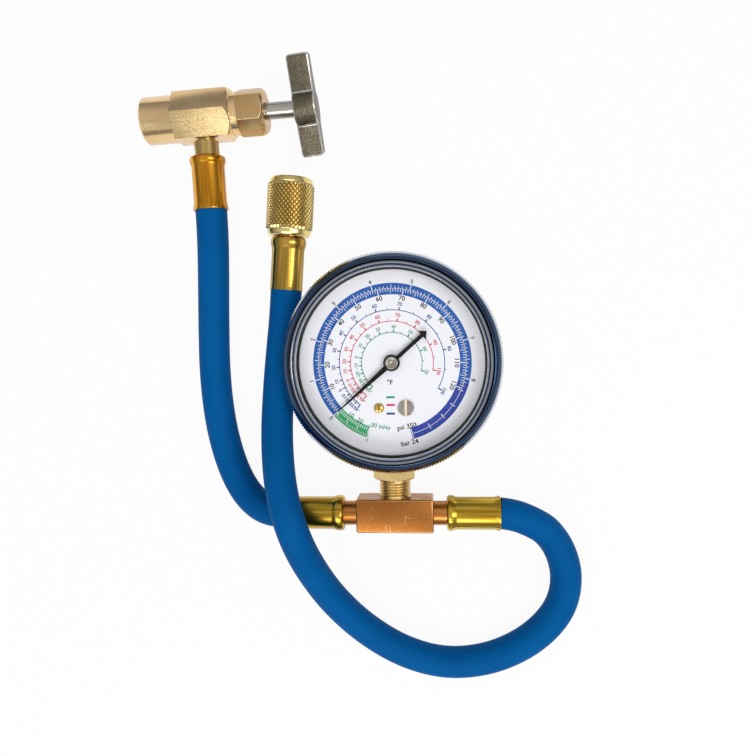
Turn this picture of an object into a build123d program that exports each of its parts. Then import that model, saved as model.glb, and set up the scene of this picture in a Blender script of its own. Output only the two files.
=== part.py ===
from build123d import *
import os
from math import acos, atan2, cos, degrees, hypot, pi, radians, sin, tan

# Refrigerant charging hose with gauge, as it lies on a table. All sizes are in millimetres.
# Origin: centre of the gauge's back, on the table. +Z points out of the dial and +Y to 12 o'clock.

# Hose, and the brass ferrule crimped over each of its ends
hose_diameter = 10.8
hose_bore = 5.2
crimp_squeeze = 0.25
ferrule_length = 18.2
ferrule_wall = 0.45
ferrule_end_wall = 0.8
bead_height = 0.55
bead_length = 2.6
flare_height = 0.45
flare_length = 1.3

# Hose nipples
neck_diameter = 8.4
neck_length = 5.0
gas_bore = 3.0
barb_count = 2
barb_pitch = 4.5
barb_depth = 0.35
barb_land = 1.0
nipple_inset = 3.0
spigot_diameter = 6.0
spigot_length = 4.6

# Can-tap valve: where its outlet meets its axis, and how it is turned on the table
valve_x = -63.7
valve_y = 85.1
valve_turn = 2.5
valve_flats = 17.5
valve_hex_start = -9.5
valve_hex_end = 10.3
valve_hex_chamfer = 1.6
boss_diameter = 15.8
boss_length = 11.2
boss_chamfer = 0.7
can_thread_diameter = 12.7
can_thread_depth = 8.5
can_gasket_diameter = 12.0
can_gasket_thickness = 1.6
can_gasket_hole = 5.0
socket_wall = 2.0
shoulder_diameter = 14.4
shoulder_length = 2.3
gland_thread_diameter = 11.2
gland_thread_length = 5.6
chamber_diameter = 6.2
hex_trim = 0.1

# Packing nut and what it presses on the spindle
packing_nut_flats = 14.0
packing_nut_wall = 1.4
packing_nut_chamfer = 1.5
packing_nut_back_chamfer = 0.5
packing_washer_thickness = 0.7
packing_ring_thickness = 1.4

# Spindle, needle and wing handle
spindle_diameter = 5.6
spindle_thread_length = 11.0
spindle_travel = 7.0
running_clearance = 0.08
needle_diameter = 3.0
needle_collar_diameter = 4.8
needle_collar_length = 2.0
needle_point_length = 3.2
needle_end_clearance = 0.2
needle_length = 10.6
handle_gap = 10.0
handle_width = 7.5
handle_span = 36.4
handle_root_thickness = 6.4
handle_end_thickness = 5.2
handle_hub_diameter = 11.3
handle_corner = 1.3
handle_socket_depth = 5.4
handle_roll = 20.0

# Coupler: mouth of its ferrule, and how it is turned on the table
coupler_x = -37.1
coupler_y = 25.3
coupler_turn = 85.8
nut_diameter = 16.0
nut_length = 19.8
nut_band_step = 0.2
nut_back_band = 2.4
nut_front_band = 1.7
nut_front_chamfer = 1.0
nut_back_chamfer = 0.7
nut_back_wall = 2.5
nut_gap = 0.3
flare_thread_diameter = 11.11
flare_thread_length = 7.0
flare_relief_diameter = 11.9
coupler_flange_diameter = 10.0
coupler_flange_length = 6.9
coupler_gasket_thickness = 1.6
coupler_gasket_hole = 5.0
depressor_pin_diameter = 1.4
depressor_disc_diameter = 4.4
depressor_disc_thickness = 1.0
depressor_reach = 1.4

# Tee block
tee_length = 25.6
tee_width = 11.6
tee_depth = 11.2
tee_y = -52.65
tee_chamfer = 0.4

# Gauge case, lens and bezel
case_diameter = 66.0
case_wall = 0.8
case_corner = 2.4
case_height = 20.8
bezel_diameter = 71.0
bezel_front_diameter = 68.8
bezel_inner_land = 0.1
bezel_bottom = 17.0
bezel_grip_height = 3.4
bezel_groove = 0.7
bezel_groove_width = 1.1
bezel_lip = 2.4
bezel_chamfer = 1.3
lens_clearance = 0.3
lens_thickness = 2.0
lens_gasket_thickness = 1.2
lens_gasket_width = 1.8

# Gauge stem and the block inside the case that carries the works
stem_height = 10.0
stem_square = 13.6
stem_square_end = 40.3
stem_square_chamfer = 1.6
stem_neck_diameter = 9.8
pipe_thread_diameter = 10.3
pipe_thread_taper = 0.7
pipe_thread_reach = 4.2
block_half_width = 9.5
block_front = 27.0
block_clearance = 2.5
shelf_left = -5.0
shelf_right = 7.0
shelf_front = 19.4
shelf_top = 7.0
root_wall = 1.0
case_screw_diameter = 2.4
case_screw_length = 6.0
case_screw_spread = 8.0
case_screw_setback = 2.5
passage_setback = 2.5
movement_screw_inset = 2.3

# Bourdon tube and its tip
bourdon_radius = 24.0
bourdon_depth = 9.0
bourdon_thickness = 2.6
bourdon_wall = 0.4
bourdon_root_angle = 252.0
bourdon_block_angle = 246.0
bourdon_end_angle = -24.0
tip_angle = 8.0
tip_margin = 0.4
tip_lug_radius = 1.7
tip_pin_x = 17.5
tip_pin_y = -13.5

# Movement: plates, pillars, pinion, sector, link and hairspring
plate_thickness = 1.0
plate_gap = 4.5
plate_end_y = 9.5
plate_half_width = 4.2
plate_wing_half_width = 10.0
plate_wing_back = -9.4
plate_wing_front = -17.2
plate_shoulder_y = -20.0
plate_foot_margin = 0.2
plate_corner = 1.2
pillar_diameter = 2.6
pillar_spigot_diameter = 1.6
pillar_spread = 8.2
pillar_y = -12.0
pillar_top_y = 7.4
gear_module = 0.3
gear_pressure_angle = 25.0
gear_addendum = 0.8
gear_dedendum = 1.05
gear_backlash = 0.06
pinion_teeth = 12
pinion_width = 2.2
sector_full_teeth = 96
sector_teeth_below = 11
sector_teeth_above = 3
sector_thickness = 1.0
sector_lift = 1.8
sector_rim = 1.8
sector_hub_diameter = 4.6
sector_web_width = 3.4
sector_tail_length = 5.0
sector_tail_angle = -95.0
sector_tail_width = 3.0
sector_arbor_diameter = 2.0
sector_pivot_diameter = 1.2
arbor_diameter = 1.8
arbor_foot_diameter = 1.0
arbor_nose_diameter = 1.5
link_thickness = 0.6
link_width = 2.0
link_eye_radius = 1.6
link_gap = 0.1
link_slack = 0.3
pin_diameter = 1.2
pin_head_diameter = 2.4
pin_head_thickness = 0.35
spring_strip = 0.16
spring_height = 0.5
spring_step = 0.42
spring_half_turns = 6
collet_diameter = 2.6
collet_height = 0.8
stud_diameter = 0.9
movement_screw_diameter = 2.0
movement_screw_head = 3.6
movement_screw_head_height = 1.2
movement_screw_length = 5.0

# Dial, its screws and the pointer
dial_diameter = 63.2
dial_thickness = 0.6
dial_drop = 2.9
dial_hole_diameter = 3.4
dial_screw_spread = 9.0
dial_screw_y = -15.1
dial_post_diameter = 3.6
dial_screw_diameter = 1.8
dial_screw_head = 3.3
dial_screw_head_height = 0.6
calibration_head = 5.3
calibration_head_height = 0.9
calibration_slot = 0.8
calibration_slot_depth = 0.45
screw_bite = 3.4
pointer_lift = 1.3
pointer_thickness = 0.45
pointer_hub_diameter = 5.5
pointer_hub_thickness = 1.0
pointer_reach = 24.4
pointer_root_width = 1.9
pointer_tip_width = 0.3
pointer_tail_reach = 15.6
pointer_tail_width = 1.3
arrow_half_width = 2.0
arrow_length = 2.1
pointer_zero_angle = 221.5
cap_diameter = 4.4
cap_thickness = 0.7
cap_dimple = 0.9
cap_dimple_depth = 0.3

# Sizes that follow from the ones above
hose_radius = hose_diameter / 2
crimped_radius = hose_radius - crimp_squeeze
ferrule_radius = crimped_radius + ferrule_wall
valve_height = valve_flats / 2 / cos(radians(30))
stem_corner = stem_square * 0.72
packing_nut_start = valve_hex_end + shoulder_length
packing_nut_end = (
    packing_nut_start + gland_thread_length + packing_washer_thickness
    + packing_ring_thickness + packing_nut_wall
)
packing_start = packing_nut_start + gland_thread_length
boss_start = valve_hex_start - boss_length
socket_floor = boss_start + can_thread_depth
gasket_start = socket_floor - can_gasket_thickness
chamber_start = socket_floor + socket_wall
spindle_start = chamber_start + needle_end_clearance + spindle_travel + needle_collar_length
handle_start = packing_nut_end + handle_gap
nut_start = ferrule_length + nut_gap
nut_end = nut_start + nut_length
coupler_face = nut_start + nut_back_wall + coupler_flange_length
tee_port = -tee_y - tee_width / 2
case_radius = case_diameter / 2
case_inside = case_radius - case_wall
dial_height = case_height - dial_drop
block_top = dial_height - block_clearance
lens_bottom = case_height + lens_gasket_thickness
lens_top = lens_bottom + lens_thickness
bezel_top = lens_top + bezel_lip
top_plate_bottom = shelf_top + plate_thickness + plate_gap
top_plate_top = top_plate_bottom + plate_thickness
pinion_radius = gear_module * pinion_teeth / 2
sector_radius = gear_module * sector_full_teeth / 2
sector_y = -(pinion_radius + sector_radius)
sector_bottom = shelf_top + plate_thickness + sector_lift
sector_top = sector_bottom + sector_thickness
link_bottom = sector_top + link_gap
link_top = link_bottom + link_thickness
tail_x = sector_tail_length * cos(radians(sector_tail_angle))
tail_y = sector_y + sector_tail_length * sin(radians(sector_tail_angle))
dial_top = dial_height + dial_thickness
pointer_bottom = dial_top + pointer_lift


def turned(*profile):
    """A solid turned about the X axis, from (station, radius) corners."""
    return revolve(make_face(Polyline(*profile, close=True)), Axis.X)


def turned_upright(*profile):
    """A solid turned about the Z axis, from (radius, height) corners."""
    return revolve(Plane.XZ * make_face(Polyline(*profile, close=True)), Axis.Z)


def upright_pin(x, y, diameter, bottom, top):
    """A round pin that stands along Z."""
    return Pos(x, y, (bottom + top) / 2) * Cylinder(diameter / 2, top - bottom)


def slab(sketch, bottom, thickness):
    """A flat sketch raised to a height and given a thickness."""
    return Pos(0, 0, bottom) * extrude(sketch, thickness)


def rounded_bar(x0, y0, x1, y1, width):
    """A flat strip with round ends between two points."""
    length = hypot(x1 - x0, y1 - y0)
    turn = degrees(atan2(y1 - y0, x1 - x0))
    return Pos((x0 + x1) / 2, (y0 + y1) / 2) * Rot(0, 0, turn) * SlotCenterToCenter(length, width)


def write(name, shape):
    export_step(shape, f"parts/{name}.step")


# Places: local X runs along the axis of each assembly
valve_place = Location((valve_x, valve_y, valve_height), (0, 0, valve_turn))
outlet_place = valve_place * Pos(0, -valve_flats / 2 - neck_length - ferrule_length, 0) * Rot(0, 0, 90)
coupler_place = Location((coupler_x, coupler_y, nut_diameter / 2), (0, 0, coupler_turn))
tee_mouth = tee_length / 2 + neck_length + ferrule_length
tee_left_place = Location((-tee_mouth, tee_y, stem_height), (0, 0, 0))
tee_right_place = Location((tee_mouth, tee_y, stem_height), (0, 0, 180))
stem_place = Location((0, 0, stem_height), (0, 0, -90))


# Hose fittings: X runs from the ferrule's open mouth towards the fitting
def ferrule():
    """A drawn brass shell with a bead at the fitting and a flare at the mouth."""
    bead_radius = ferrule_radius + bead_height
    flare_radius = ferrule_radius + flare_height
    return turned(
        (0, crimped_radius),
        (ferrule_length - ferrule_end_wall, crimped_radius),
        (ferrule_length - ferrule_end_wall, neck_diameter / 2),
        (ferrule_length, neck_diameter / 2),
        (ferrule_length, ferrule_radius),
        (ferrule_length - bead_height, bead_radius),
        (ferrule_length - bead_length + bead_height, bead_radius),
        (ferrule_length - bead_length, ferrule_radius),
        (flare_length, ferrule_radius),
        (flare_length / 3, flare_radius),
        (0, flare_radius),
    )


def barbed_profile():
    """The upper edge of a nipple from its inner end to its neck, with saw-tooth barbs."""
    barb_radius = hose_bore / 2
    root_radius = barb_radius - barb_depth
    points = [(nipple_inset, root_radius)]
    for number in range(barb_count):
        start = nipple_inset + number * barb_pitch
        points.append((start + barb_pitch - barb_land, barb_radius))
        points.append((start + barb_pitch, barb_radius))
        points.append((start + barb_pitch, root_radius))
    neck_start = ferrule_length - ferrule_end_wall
    points.append((neck_start, root_radius))
    points.append((neck_start, neck_diameter / 2))
    return points


def spigot_nipple():
    """A nipple whose spigot is pressed into a block or valve body."""
    seat = ferrule_length + neck_length
    return turned(
        (nipple_inset, gas_bore / 2),
        *barbed_profile(),
        (seat, neck_diameter / 2),
        (seat, spigot_diameter / 2),
        (seat + spigot_length, spigot_diameter / 2),
        (seat + spigot_length, gas_bore / 2),
    )


def crimped_hose_end():
    """The squeezed end of the hose inside the ferrule, around the nipple."""
    end = ferrule_length - ferrule_end_wall
    sleeve = turned(
        (0, 0),
        (0, crimped_radius),
        (end, crimped_radius),
        (end, 0),
    )
    plug = turned((nipple_inset, 0), *barbed_profile(), (end, 0))
    return sleeve - plug


def hose_tube(route):
    """The free length of hose: straight runs joined by arcs as large as the runs allow."""
    points = [Vector(*point) for point in route]
    radii = []
    for before, corner, after in zip(points, points[1:], points[2:]):
        half_turn = radians((corner - before).get_angle(after - corner)) / 2
        shorter = min((corner - before).length, (after - corner).length)
        radii.append(0.45 * shorter / tan(half_turn))
    path = FilletPolyline(*points, radius=radii)
    section = Plane(origin=points[0], z_dir=points[1] - points[0]) * Circle(hose_radius)
    tube = sweep(section, path)
    print("hose radii", [round(radius, 1) for radius in radii])
    print("length", round(path.length, 1), "volume ratio",
          round(tube.volume / (path.length * pi * hose_radius ** 2), 4))
    return tube


def mouth(place):
    return tuple(place.position)


valve_hose_route = [
    mouth(outlet_place),
    (-61.96, 45.2, 10.1),
    (-62.7, 31.5, 8.3),
    (-63.9, 14.5, 5.9),
    (-64.2, -4.0, 5.5),
    (-62.7, -21.0, 5.5),
    (-59.4, -35.0, 5.5),
    (-54.7, -45.0, 6.3),
    (-48.6, -50.6, 8.6),
    (-42.2, tee_y, stem_height),
    mouth(tee_left_place),
]

coupler_hose_route = [
    mouth(tee_right_place),
    (40.8, tee_y, stem_height),
    (46.8, -54.7, 8.8),
    (52.8, -59.7, 7.0),
    (57.6, -67.4, 5.7),
    (59.6, -76.7, 5.5),
    (57.6, -86.7, 5.5),
    (51.2, -95.4, 5.5),
    (41.6, -102.4, 5.5),
    (29.6, -107.0, 5.5),
    (15.6, -108.1, 5.5),
    (1.0, -103.9, 5.6),
    (-12.4, -94.8, 7.2),
    (-22.4, -82.6, 12.4),
    (-28.9, -69.4, 19.6),
    (-33.4, -56.8, 24.5),
    (-37.2, -42.6, 24.5),
    (-39.9, -26.0, 16.8),
    (-40.2, -9.0, 10.4),
    (-39.0, 6.0, 8.3),
    (-37.76, 16.3, 8.0),
    mouth(coupler_place),
]


def hose(route, first_place, last_place):
    first = first_place * crimped_hose_end()
    last = last_place * crimped_hose_end()
    return hose_tube(route) + first + last


# Can-tap valve: X runs from the can socket to the handle, and the outlet leaves along -Y
def hexagon_corner(flats):
    """A radius that just clears the corners of a hexagon bar."""
    return flats / 2 / cos(radians(30)) + hex_trim


def hexagon_bar(flats, start, end, corner_turn):
    """A hexagon bar along X, with a corner at corner_turn degrees from +Y."""
    outline = RegularPolygon(flats / 2, 6, major_radius=False)
    return Pos(start, 0, 0) * extrude(Plane.YZ * Rot(0, 0, corner_turn) * outline, end - start)


def valve_body():
    corner_radius = hexagon_corner(valve_flats)
    end_envelope = turned(
        (valve_hex_start, 0),
        (valve_hex_start, corner_radius),
        (valve_hex_end - valve_hex_chamfer, corner_radius),
        (valve_hex_end, corner_radius - valve_hex_chamfer),
        (valve_hex_end, 0),
    )
    body = hexagon_bar(valve_flats, valve_hex_start, valve_hex_end, 30) & end_envelope
    body += turned(
        (boss_start, 0),
        (boss_start, boss_diameter / 2 - boss_chamfer),
        (boss_start + boss_chamfer, boss_diameter / 2),
        (valve_hex_start, boss_diameter / 2),
        (valve_hex_start, 0),
    )
    body += turned(
        (valve_hex_end, 0),
        (valve_hex_end, shoulder_diameter / 2),
        (packing_nut_start, shoulder_diameter / 2),
        (packing_nut_start, gland_thread_diameter / 2),
        (packing_start, gland_thread_diameter / 2),
        (packing_start, 0),
    )
    body -= turned(
        (boss_start, 0),
        (boss_start, can_thread_diameter / 2),
        (gasket_start, can_thread_diameter / 2),
        (gasket_start, can_gasket_diameter / 2),
        (socket_floor, can_gasket_diameter / 2),
        (socket_floor, needle_diameter / 2 + running_clearance),
        (chamber_start, needle_diameter / 2 + running_clearance),
        (chamber_start, chamber_diameter / 2),
        (packing_start, chamber_diameter / 2),
        (packing_start, 0),
    )
    flat = valve_flats / 2
    outlet = Rot(0, 0, -90) * turned(
        (0, 0),
        (0, gas_bore / 2),
        (flat - spigot_length, gas_bore / 2),
        (flat - spigot_length, spigot_diameter / 2),
        (flat, spigot_diameter / 2),
        (flat, 0),
    )
    return body - outlet


def ring(start, end, outer_diameter, inner_diameter):
    """A plain ring along X."""
    return turned(
        (start, inner_diameter / 2),
        (start, outer_diameter / 2),
        (end, outer_diameter / 2),
        (end, inner_diameter / 2),
    )


def packing_nut():
    corner_radius = hexagon_corner(packing_nut_flats)
    envelope = turned(
        (packing_nut_start, 0),
        (packing_nut_start, corner_radius - packing_nut_back_chamfer),
        (packing_nut_start + packing_nut_back_chamfer, corner_radius),
        (packing_nut_end - packing_nut_chamfer, corner_radius),
        (packing_nut_end, corner_radius - packing_nut_chamfer),
        (packing_nut_end, 0),
    )
    nut = hexagon_bar(packing_nut_flats, packing_nut_start, packing_nut_end, 0) & envelope
    return nut - turned(
        (packing_nut_start, 0),
        (packing_nut_start, gland_thread_diameter / 2),
        (packing_nut_end - packing_nut_wall, gland_thread_diameter / 2),
        (packing_nut_end - packing_nut_wall, spindle_diameter / 2 + running_clearance),
        (packing_nut_end, spindle_diameter / 2 + running_clearance),
        (packing_nut_end, 0),
    )


def tap_spindle():
    thread_radius = chamber_diameter / 2 - running_clearance
    end = handle_start + handle_socket_depth
    return turned(
        (spindle_start, 0),
        (spindle_start, thread_radius),
        (spindle_start + spindle_thread_length, thread_radius),
        (spindle_start + spindle_thread_length, spindle_diameter / 2),
        (end, spindle_diameter / 2),
        (end, 0),
    )


def piercing_needle():
    collar_start = spindle_start - needle_collar_length
    point = spindle_start - needle_length
    return turned(
        (point, 0),
        (point + needle_point_length, needle_diameter / 2),
        (collar_start, needle_diameter / 2),
        (collar_start, needle_collar_diameter / 2),
        (spindle_start, needle_collar_diameter / 2),
        (spindle_start, 0),
    )


def tap_handle():
    """A cast bar that thins towards both ends, with a round hub across its middle."""
    half = handle_span / 2
    root = handle_root_thickness / 2
    tip = handle_end_thickness / 2
    side = Polyline((half, -tip), (half, tip), (0, root), (-half, tip), (-half, -tip), (0, -root), close=True)
    arms = Pos(handle_start, 0, 0) * extrude(Plane.YZ * make_face(side), handle_width)
    corners = arms.edges().filter_by(Axis.Z).filter_by(lambda edge: abs(edge.center().Y) > half - 0.1)
    arms = fillet(corners, handle_corner)
    hub = turned(
        (handle_start, 0),
        (handle_start, handle_hub_diameter / 2),
        (handle_start + handle_width, handle_hub_diameter / 2),
        (handle_start + handle_width, 0),
    )
    bore = turned(
        (handle_start, 0),
        (handle_start, spindle_diameter / 2),
        (handle_start + handle_socket_depth, spindle_diameter / 2),
        (handle_start + handle_socket_depth, 0),
    )
    return Rot(handle_roll, 0, 0) * (arms + hub - bore)


# Coupler: X runs from the ferrule's mouth to the nut's open end
def coupler_nipple():
    back = nut_start + nut_back_wall + running_clearance
    disc_pocket = coupler_face - depressor_disc_thickness
    return turned(
        (nipple_inset, gas_bore / 2),
        *barbed_profile(),
        (back, neck_diameter / 2),
        (back, coupler_flange_diameter / 2),
        (coupler_face, coupler_flange_diameter / 2),
        (coupler_face, depressor_disc_diameter / 2),
        (disc_pocket, depressor_disc_diameter / 2),
        (disc_pocket, gas_bore / 2),
    )


def coupler_nut():
    radius = nut_diameter / 2
    band = radius - nut_band_step
    return turned(
        (nut_start, neck_diameter / 2 + running_clearance),
        (nut_start, band - nut_back_chamfer),
        (nut_start + nut_back_chamfer, band),
        (nut_start + nut_back_band, band),
        (nut_start + nut_back_band, radius),
        (nut_end - nut_front_band, radius),
        (nut_end - nut_front_band, band),
        (nut_end, band - nut_front_chamfer),
        (nut_end, flare_thread_diameter / 2),
        (nut_end - flare_thread_length, flare_thread_diameter / 2),
        (nut_end - flare_thread_length, flare_relief_diameter / 2),
        (nut_start + nut_back_wall, flare_relief_diameter / 2),
        (nut_start + nut_back_wall, neck_diameter / 2 + running_clearance),
    )


def core_depressor():
    """A cross that lets gas past, with the pin that opens the valve core."""
    disc = turned(
        (coupler_face - depressor_disc_thickness, 0),
        (coupler_face - depressor_disc_thickness, depressor_disc_diameter / 2),
        (coupler_face, depressor_disc_diameter / 2),
        (coupler_face, 0),
    )
    arm = Box(depressor_disc_thickness, depressor_disc_diameter, depressor_pin_diameter)
    arm = Pos(coupler_face - depressor_disc_thickness / 2, 0, 0) * arm
    cross = disc & (arm + Rot(90, 0, 0) * arm)
    tip = coupler_face + coupler_gasket_thickness + depressor_reach
    return cross + turned(
        (coupler_face - depressor_disc_thickness, 0),
        (coupler_face - depressor_disc_thickness, depressor_pin_diameter / 2),
        (tip, depressor_pin_diameter / 2),
        (tip, 0),
    )


# Gauge stem: X runs down from the gauge's centre, through the case wall and into the tee
def stem_cone():
    """The tapered pipe thread, without its threads, from the square to its end in the tee."""
    end = tee_port + pipe_thread_reach
    return turned(
        (stem_square_end, 0),
        (stem_square_end, pipe_thread_diameter / 2),
        (end, (pipe_thread_diameter - pipe_thread_taper) / 2),
        (end, 0),
    )


def bourdon_section(extra):
    """Half outline of the flattened tube, grown by extra all round, in the XZ plane."""
    half_depth = bourdon_depth / 2 + extra
    half_width = bourdon_thickness / 2 + extra
    flat = half_width * 0.4
    shoulder = half_depth - (half_width - flat)
    corners = [
        (-half_width, -shoulder),
        (-flat, -half_depth),
        (flat, -half_depth),
        (half_width, -shoulder),
        (half_width, shoulder),
        (flat, half_depth),
        (-flat, half_depth),
        (-half_width, shoulder),
    ]
    points = [(bourdon_radius + x, stem_height + z) for x, z in corners]
    return Plane.XZ * make_face(Polyline(*points, close=True))


def swept_round(section, start_angle, end_angle):
    """A section in the XZ plane, turned about Z from one angle to another."""
    return Rot(0, 0, start_angle) * revolve(section, Axis.Z, end_angle - start_angle)


def bourdon_tube():
    tube = swept_round(bourdon_section(0), bourdon_end_angle, bourdon_root_angle)
    bore = Plane.XZ * Pos(bourdon_radius, stem_height) * Rectangle(
        bourdon_thickness - 2 * bourdon_wall, bourdon_depth - bourdon_thickness
    )
    return tube - swept_round(bore, bourdon_end_angle, bourdon_root_angle)


def gauge_socket():
    """Stem, wrench square and the inner block, milled from one piece of brass."""
    outside = extrude(Plane.YZ * Rectangle(stem_square, stem_square), stem_square_end - case_radius)
    outside = Pos(case_radius, 0, 0) * outside
    outside &= turned(
        (case_radius, 0),
        (case_radius, stem_corner),
        (stem_square_end - stem_square_chamfer, stem_corner),
        (stem_square_end, stem_square / 2),
        (stem_square_end, 0),
    )
    neck = turned(
        (block_front, 0),
        (block_front, stem_neck_diameter / 2),
        (case_radius, stem_neck_diameter / 2),
        (case_radius, 0),
    )
    outer = stem_place * (outside + stem_cone() + neck)
    beam = Pos(0, 0, case_wall) * Box(
        2 * block_half_width, 2 * case_radius, block_top - case_wall,
        align=(Align.CENTER, Align.CENTER, Align.MIN),
    )
    shelf = Pos(shelf_left, 0, case_wall) * Box(
        shelf_right - shelf_left, 2 * case_radius, shelf_top - case_wall,
        align=(Align.MIN, Align.CENTER, Align.MIN),
    )
    room = case_room()
    below = Pos(0, -block_front, 0) * Box(
        4 * case_radius, 4 * case_radius, 4 * case_radius, align=(Align.CENTER, Align.MAX, Align.CENTER)
    )
    below_shelf = Pos(0, -shelf_front, 0) * Box(
        4 * case_radius, 4 * case_radius, 4 * case_radius, align=(Align.CENTER, Align.MAX, Align.CENTER)
    )
    root_half = bourdon_thickness / 2 + root_wall
    root_outline = Plane.XZ * Pos(bourdon_radius, (block_top + case_wall) / 2) * Rectangle(
        2 * root_half, block_top - case_wall
    )
    left_of_shelf = Pos(shelf_left, 0, 0) * Box(
        4 * case_radius, 4 * case_radius, 4 * case_radius, align=(Align.MAX, Align.CENTER, Align.CENTER)
    )
    root = swept_round(root_outline, bourdon_block_angle, 270) & left_of_shelf
    inner = (beam & room & below) + (shelf & room & below_shelf) + (root & room)
    body = outer + inner
    body -= swept_round(bourdon_section(0), bourdon_block_angle - 1, bourdon_root_angle)
    passage_end = block_front + passage_setback
    body -= stem_place * turned(
        (passage_end, 0),
        (passage_end, gas_bore / 2),
        (tee_port + pipe_thread_reach, gas_bore / 2),
        (tee_port + pipe_thread_reach, 0),
    )
    for side in (-1, 1):
        hole_y = -(block_front + case_screw_setback)
        hole_x = side * case_screw_spread / 2
        body -= upright_pin(hole_x, hole_y, case_screw_diameter, case_wall, case_screw_length)
    for x, y in movement_screw_places():
        bottom = shelf_top + plate_thickness - movement_screw_length
        body -= upright_pin(x, y, movement_screw_diameter, bottom, shelf_top)
    return body


def case_screw(x, y):
    """A countersunk screw, flush with the back of the case."""
    shank = case_screw_diameter / 2
    return Pos(x, y, 0) * turned_upright(
        (0, 0),
        (shank + case_wall, 0),
        (shank, case_wall),
        (shank, case_screw_length),
        (0, case_screw_length),
    )


def case_screws():
    y = -(block_front + case_screw_setback)
    return [case_screw(side * case_screw_spread / 2, y) for side in (-1, 1)]


def case_room():
    """The space inside the case, which the inner block is milled to fit."""
    return turned_upright(
        (0, case_wall),
        (case_radius - case_corner, case_wall),
        (case_inside, case_corner),
        (case_inside, case_height),
        (0, case_height),
    )


def gauge_case():
    """A drawn steel cup with the stem's hole in its wall."""
    cup = turned_upright(
        (0, 0),
        (case_radius - case_corner, 0),
        (case_radius - case_corner * 0.3, case_corner * 0.3),
        (case_radius, case_corner),
        (case_radius, case_height),
        (0, case_height),
    )
    cup -= case_room()
    hole = stem_place * turned(
        (block_front, 0),
        (block_front, stem_neck_diameter / 2),
        (case_radius + 1, stem_neck_diameter / 2),
        (case_radius + 1, 0),
    )
    cup -= hole
    for screw in case_screws():
        cup -= screw
    return cup


def bezel():
    """The front ring: a coin-edged grip band, a bright shoulder and a lip over the lens."""
    outer = bezel_diameter / 2
    front = bezel_front_diameter / 2
    groove_outer = front - bezel_chamfer - bezel_groove_width
    groove_inner = groove_outer - bezel_groove
    opening = groove_inner - bezel_inner_land
    grip_top = bezel_bottom + bezel_grip_height
    lens_pocket = case_radius - lens_clearance
    return turned_upright(
        (case_radius, bezel_bottom),
        (outer, bezel_bottom),
        (outer, grip_top),
        (front, grip_top + (outer - front)),
        (front, bezel_top - bezel_chamfer),
        (front - bezel_chamfer, bezel_top),
        (groove_outer, bezel_top),
        (groove_inner, bezel_top - bezel_groove),
        (opening, bezel_top - bezel_groove),
        (opening, lens_top),
        (lens_pocket, lens_top),
        (lens_pocket, case_height),
        (case_radius, case_height),
    )


def lens():
    radius = case_radius - 2 * lens_clearance
    return Pos(0, 0, (lens_bottom + lens_top) / 2) * Cylinder(radius, lens_thickness)


def lens_gasket():
    outer = case_radius - 2 * lens_clearance
    return turned_upright(
        (outer - lens_gasket_width, case_height),
        (outer, case_height),
        (outer, lens_bottom),
        (outer - lens_gasket_width, lens_bottom),
    )


def tee_block():
    block = Pos(0, tee_y, stem_height) * Box(tee_length, tee_width, tee_depth)
    block = chamfer(block.edges(), tee_chamfer)
    half = tee_length / 2
    run = turned(
        (-half, 0),
        (-half, spigot_diameter / 2),
        (-half + spigot_length, spigot_diameter / 2),
        (-half + spigot_length, gas_bore / 2),
        (half - spigot_length, gas_bore / 2),
        (half - spigot_length, spigot_diameter / 2),
        (half, spigot_diameter / 2),
        (half, 0),
    )
    block -= Pos(0, tee_y, stem_height) * run
    branch = turned(
        (tee_port, 0),
        (tee_port, gas_bore / 2),
        (-tee_y, gas_bore / 2),
        (-tee_y, 0),
    )
    return block - stem_place * (stem_cone() + branch)


# Gauge movement, between two plates on the shelf
def movement_screw_places():
    y = -(shelf_front + block_front) / 2
    return [(shelf_left + movement_screw_inset, y), (shelf_right - movement_screw_inset, y)]


def plate_outline(foot_y):
    """A centre strip with two wings for the pillars, down to foot_y."""
    strip = Pos(0, (plate_end_y + plate_wing_front) / 2) * Rectangle(
        2 * plate_half_width, plate_end_y - plate_wing_front
    )
    wings = Pos(0, (plate_wing_back + plate_wing_front) / 2) * Rectangle(
        2 * plate_wing_half_width, plate_wing_back - plate_wing_front
    )
    foot = Pos((shelf_left + shelf_right) / 2, (plate_wing_front + foot_y) / 2) * Rectangle(
        shelf_right - shelf_left - 2 * plate_foot_margin, plate_wing_front - foot_y
    )
    outline = strip + wings + foot
    return fillet(outline.vertices(), plate_corner)


def pillar_places():
    return [(-pillar_spread, pillar_y), (pillar_spread, pillar_y), (0, pillar_top_y)]


def pierced_plate(foot_y, bottom, centre_hole):
    plate = slab(plate_outline(foot_y), bottom, plate_thickness)
    top = bottom + plate_thickness
    plate -= upright_pin(0, 0, centre_hole, bottom, top)
    plate -= upright_pin(0, sector_y, sector_pivot_diameter + 2 * running_clearance, bottom, top)
    for x, y in pillar_places():
        plate -= upright_pin(x, y, pillar_spigot_diameter, bottom, top)
    return plate


def lower_plate():
    centre_hole = arbor_foot_diameter + 2 * running_clearance
    plate = pierced_plate(-block_front + plate_foot_margin, shelf_top, centre_hole)
    for x, y in movement_screw_places():
        plate -= upright_pin(x, y, movement_screw_diameter, shelf_top, shelf_top + plate_thickness)
    return plate


def upper_plate():
    return pierced_plate(plate_shoulder_y, top_plate_bottom, arbor_diameter + 2 * running_clearance)


def pillar(x, y):
    spigot = pillar_spigot_diameter / 2
    lower_face = shelf_top + plate_thickness
    return Pos(x, y, 0) * turned_upright(
        (0, shelf_top),
        (spigot, shelf_top),
        (spigot, lower_face),
        (pillar_diameter / 2, lower_face),
        (pillar_diameter / 2, top_plate_bottom),
        (spigot, top_plate_bottom),
        (spigot, top_plate_top),
        (0, top_plate_top),
    )


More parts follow.
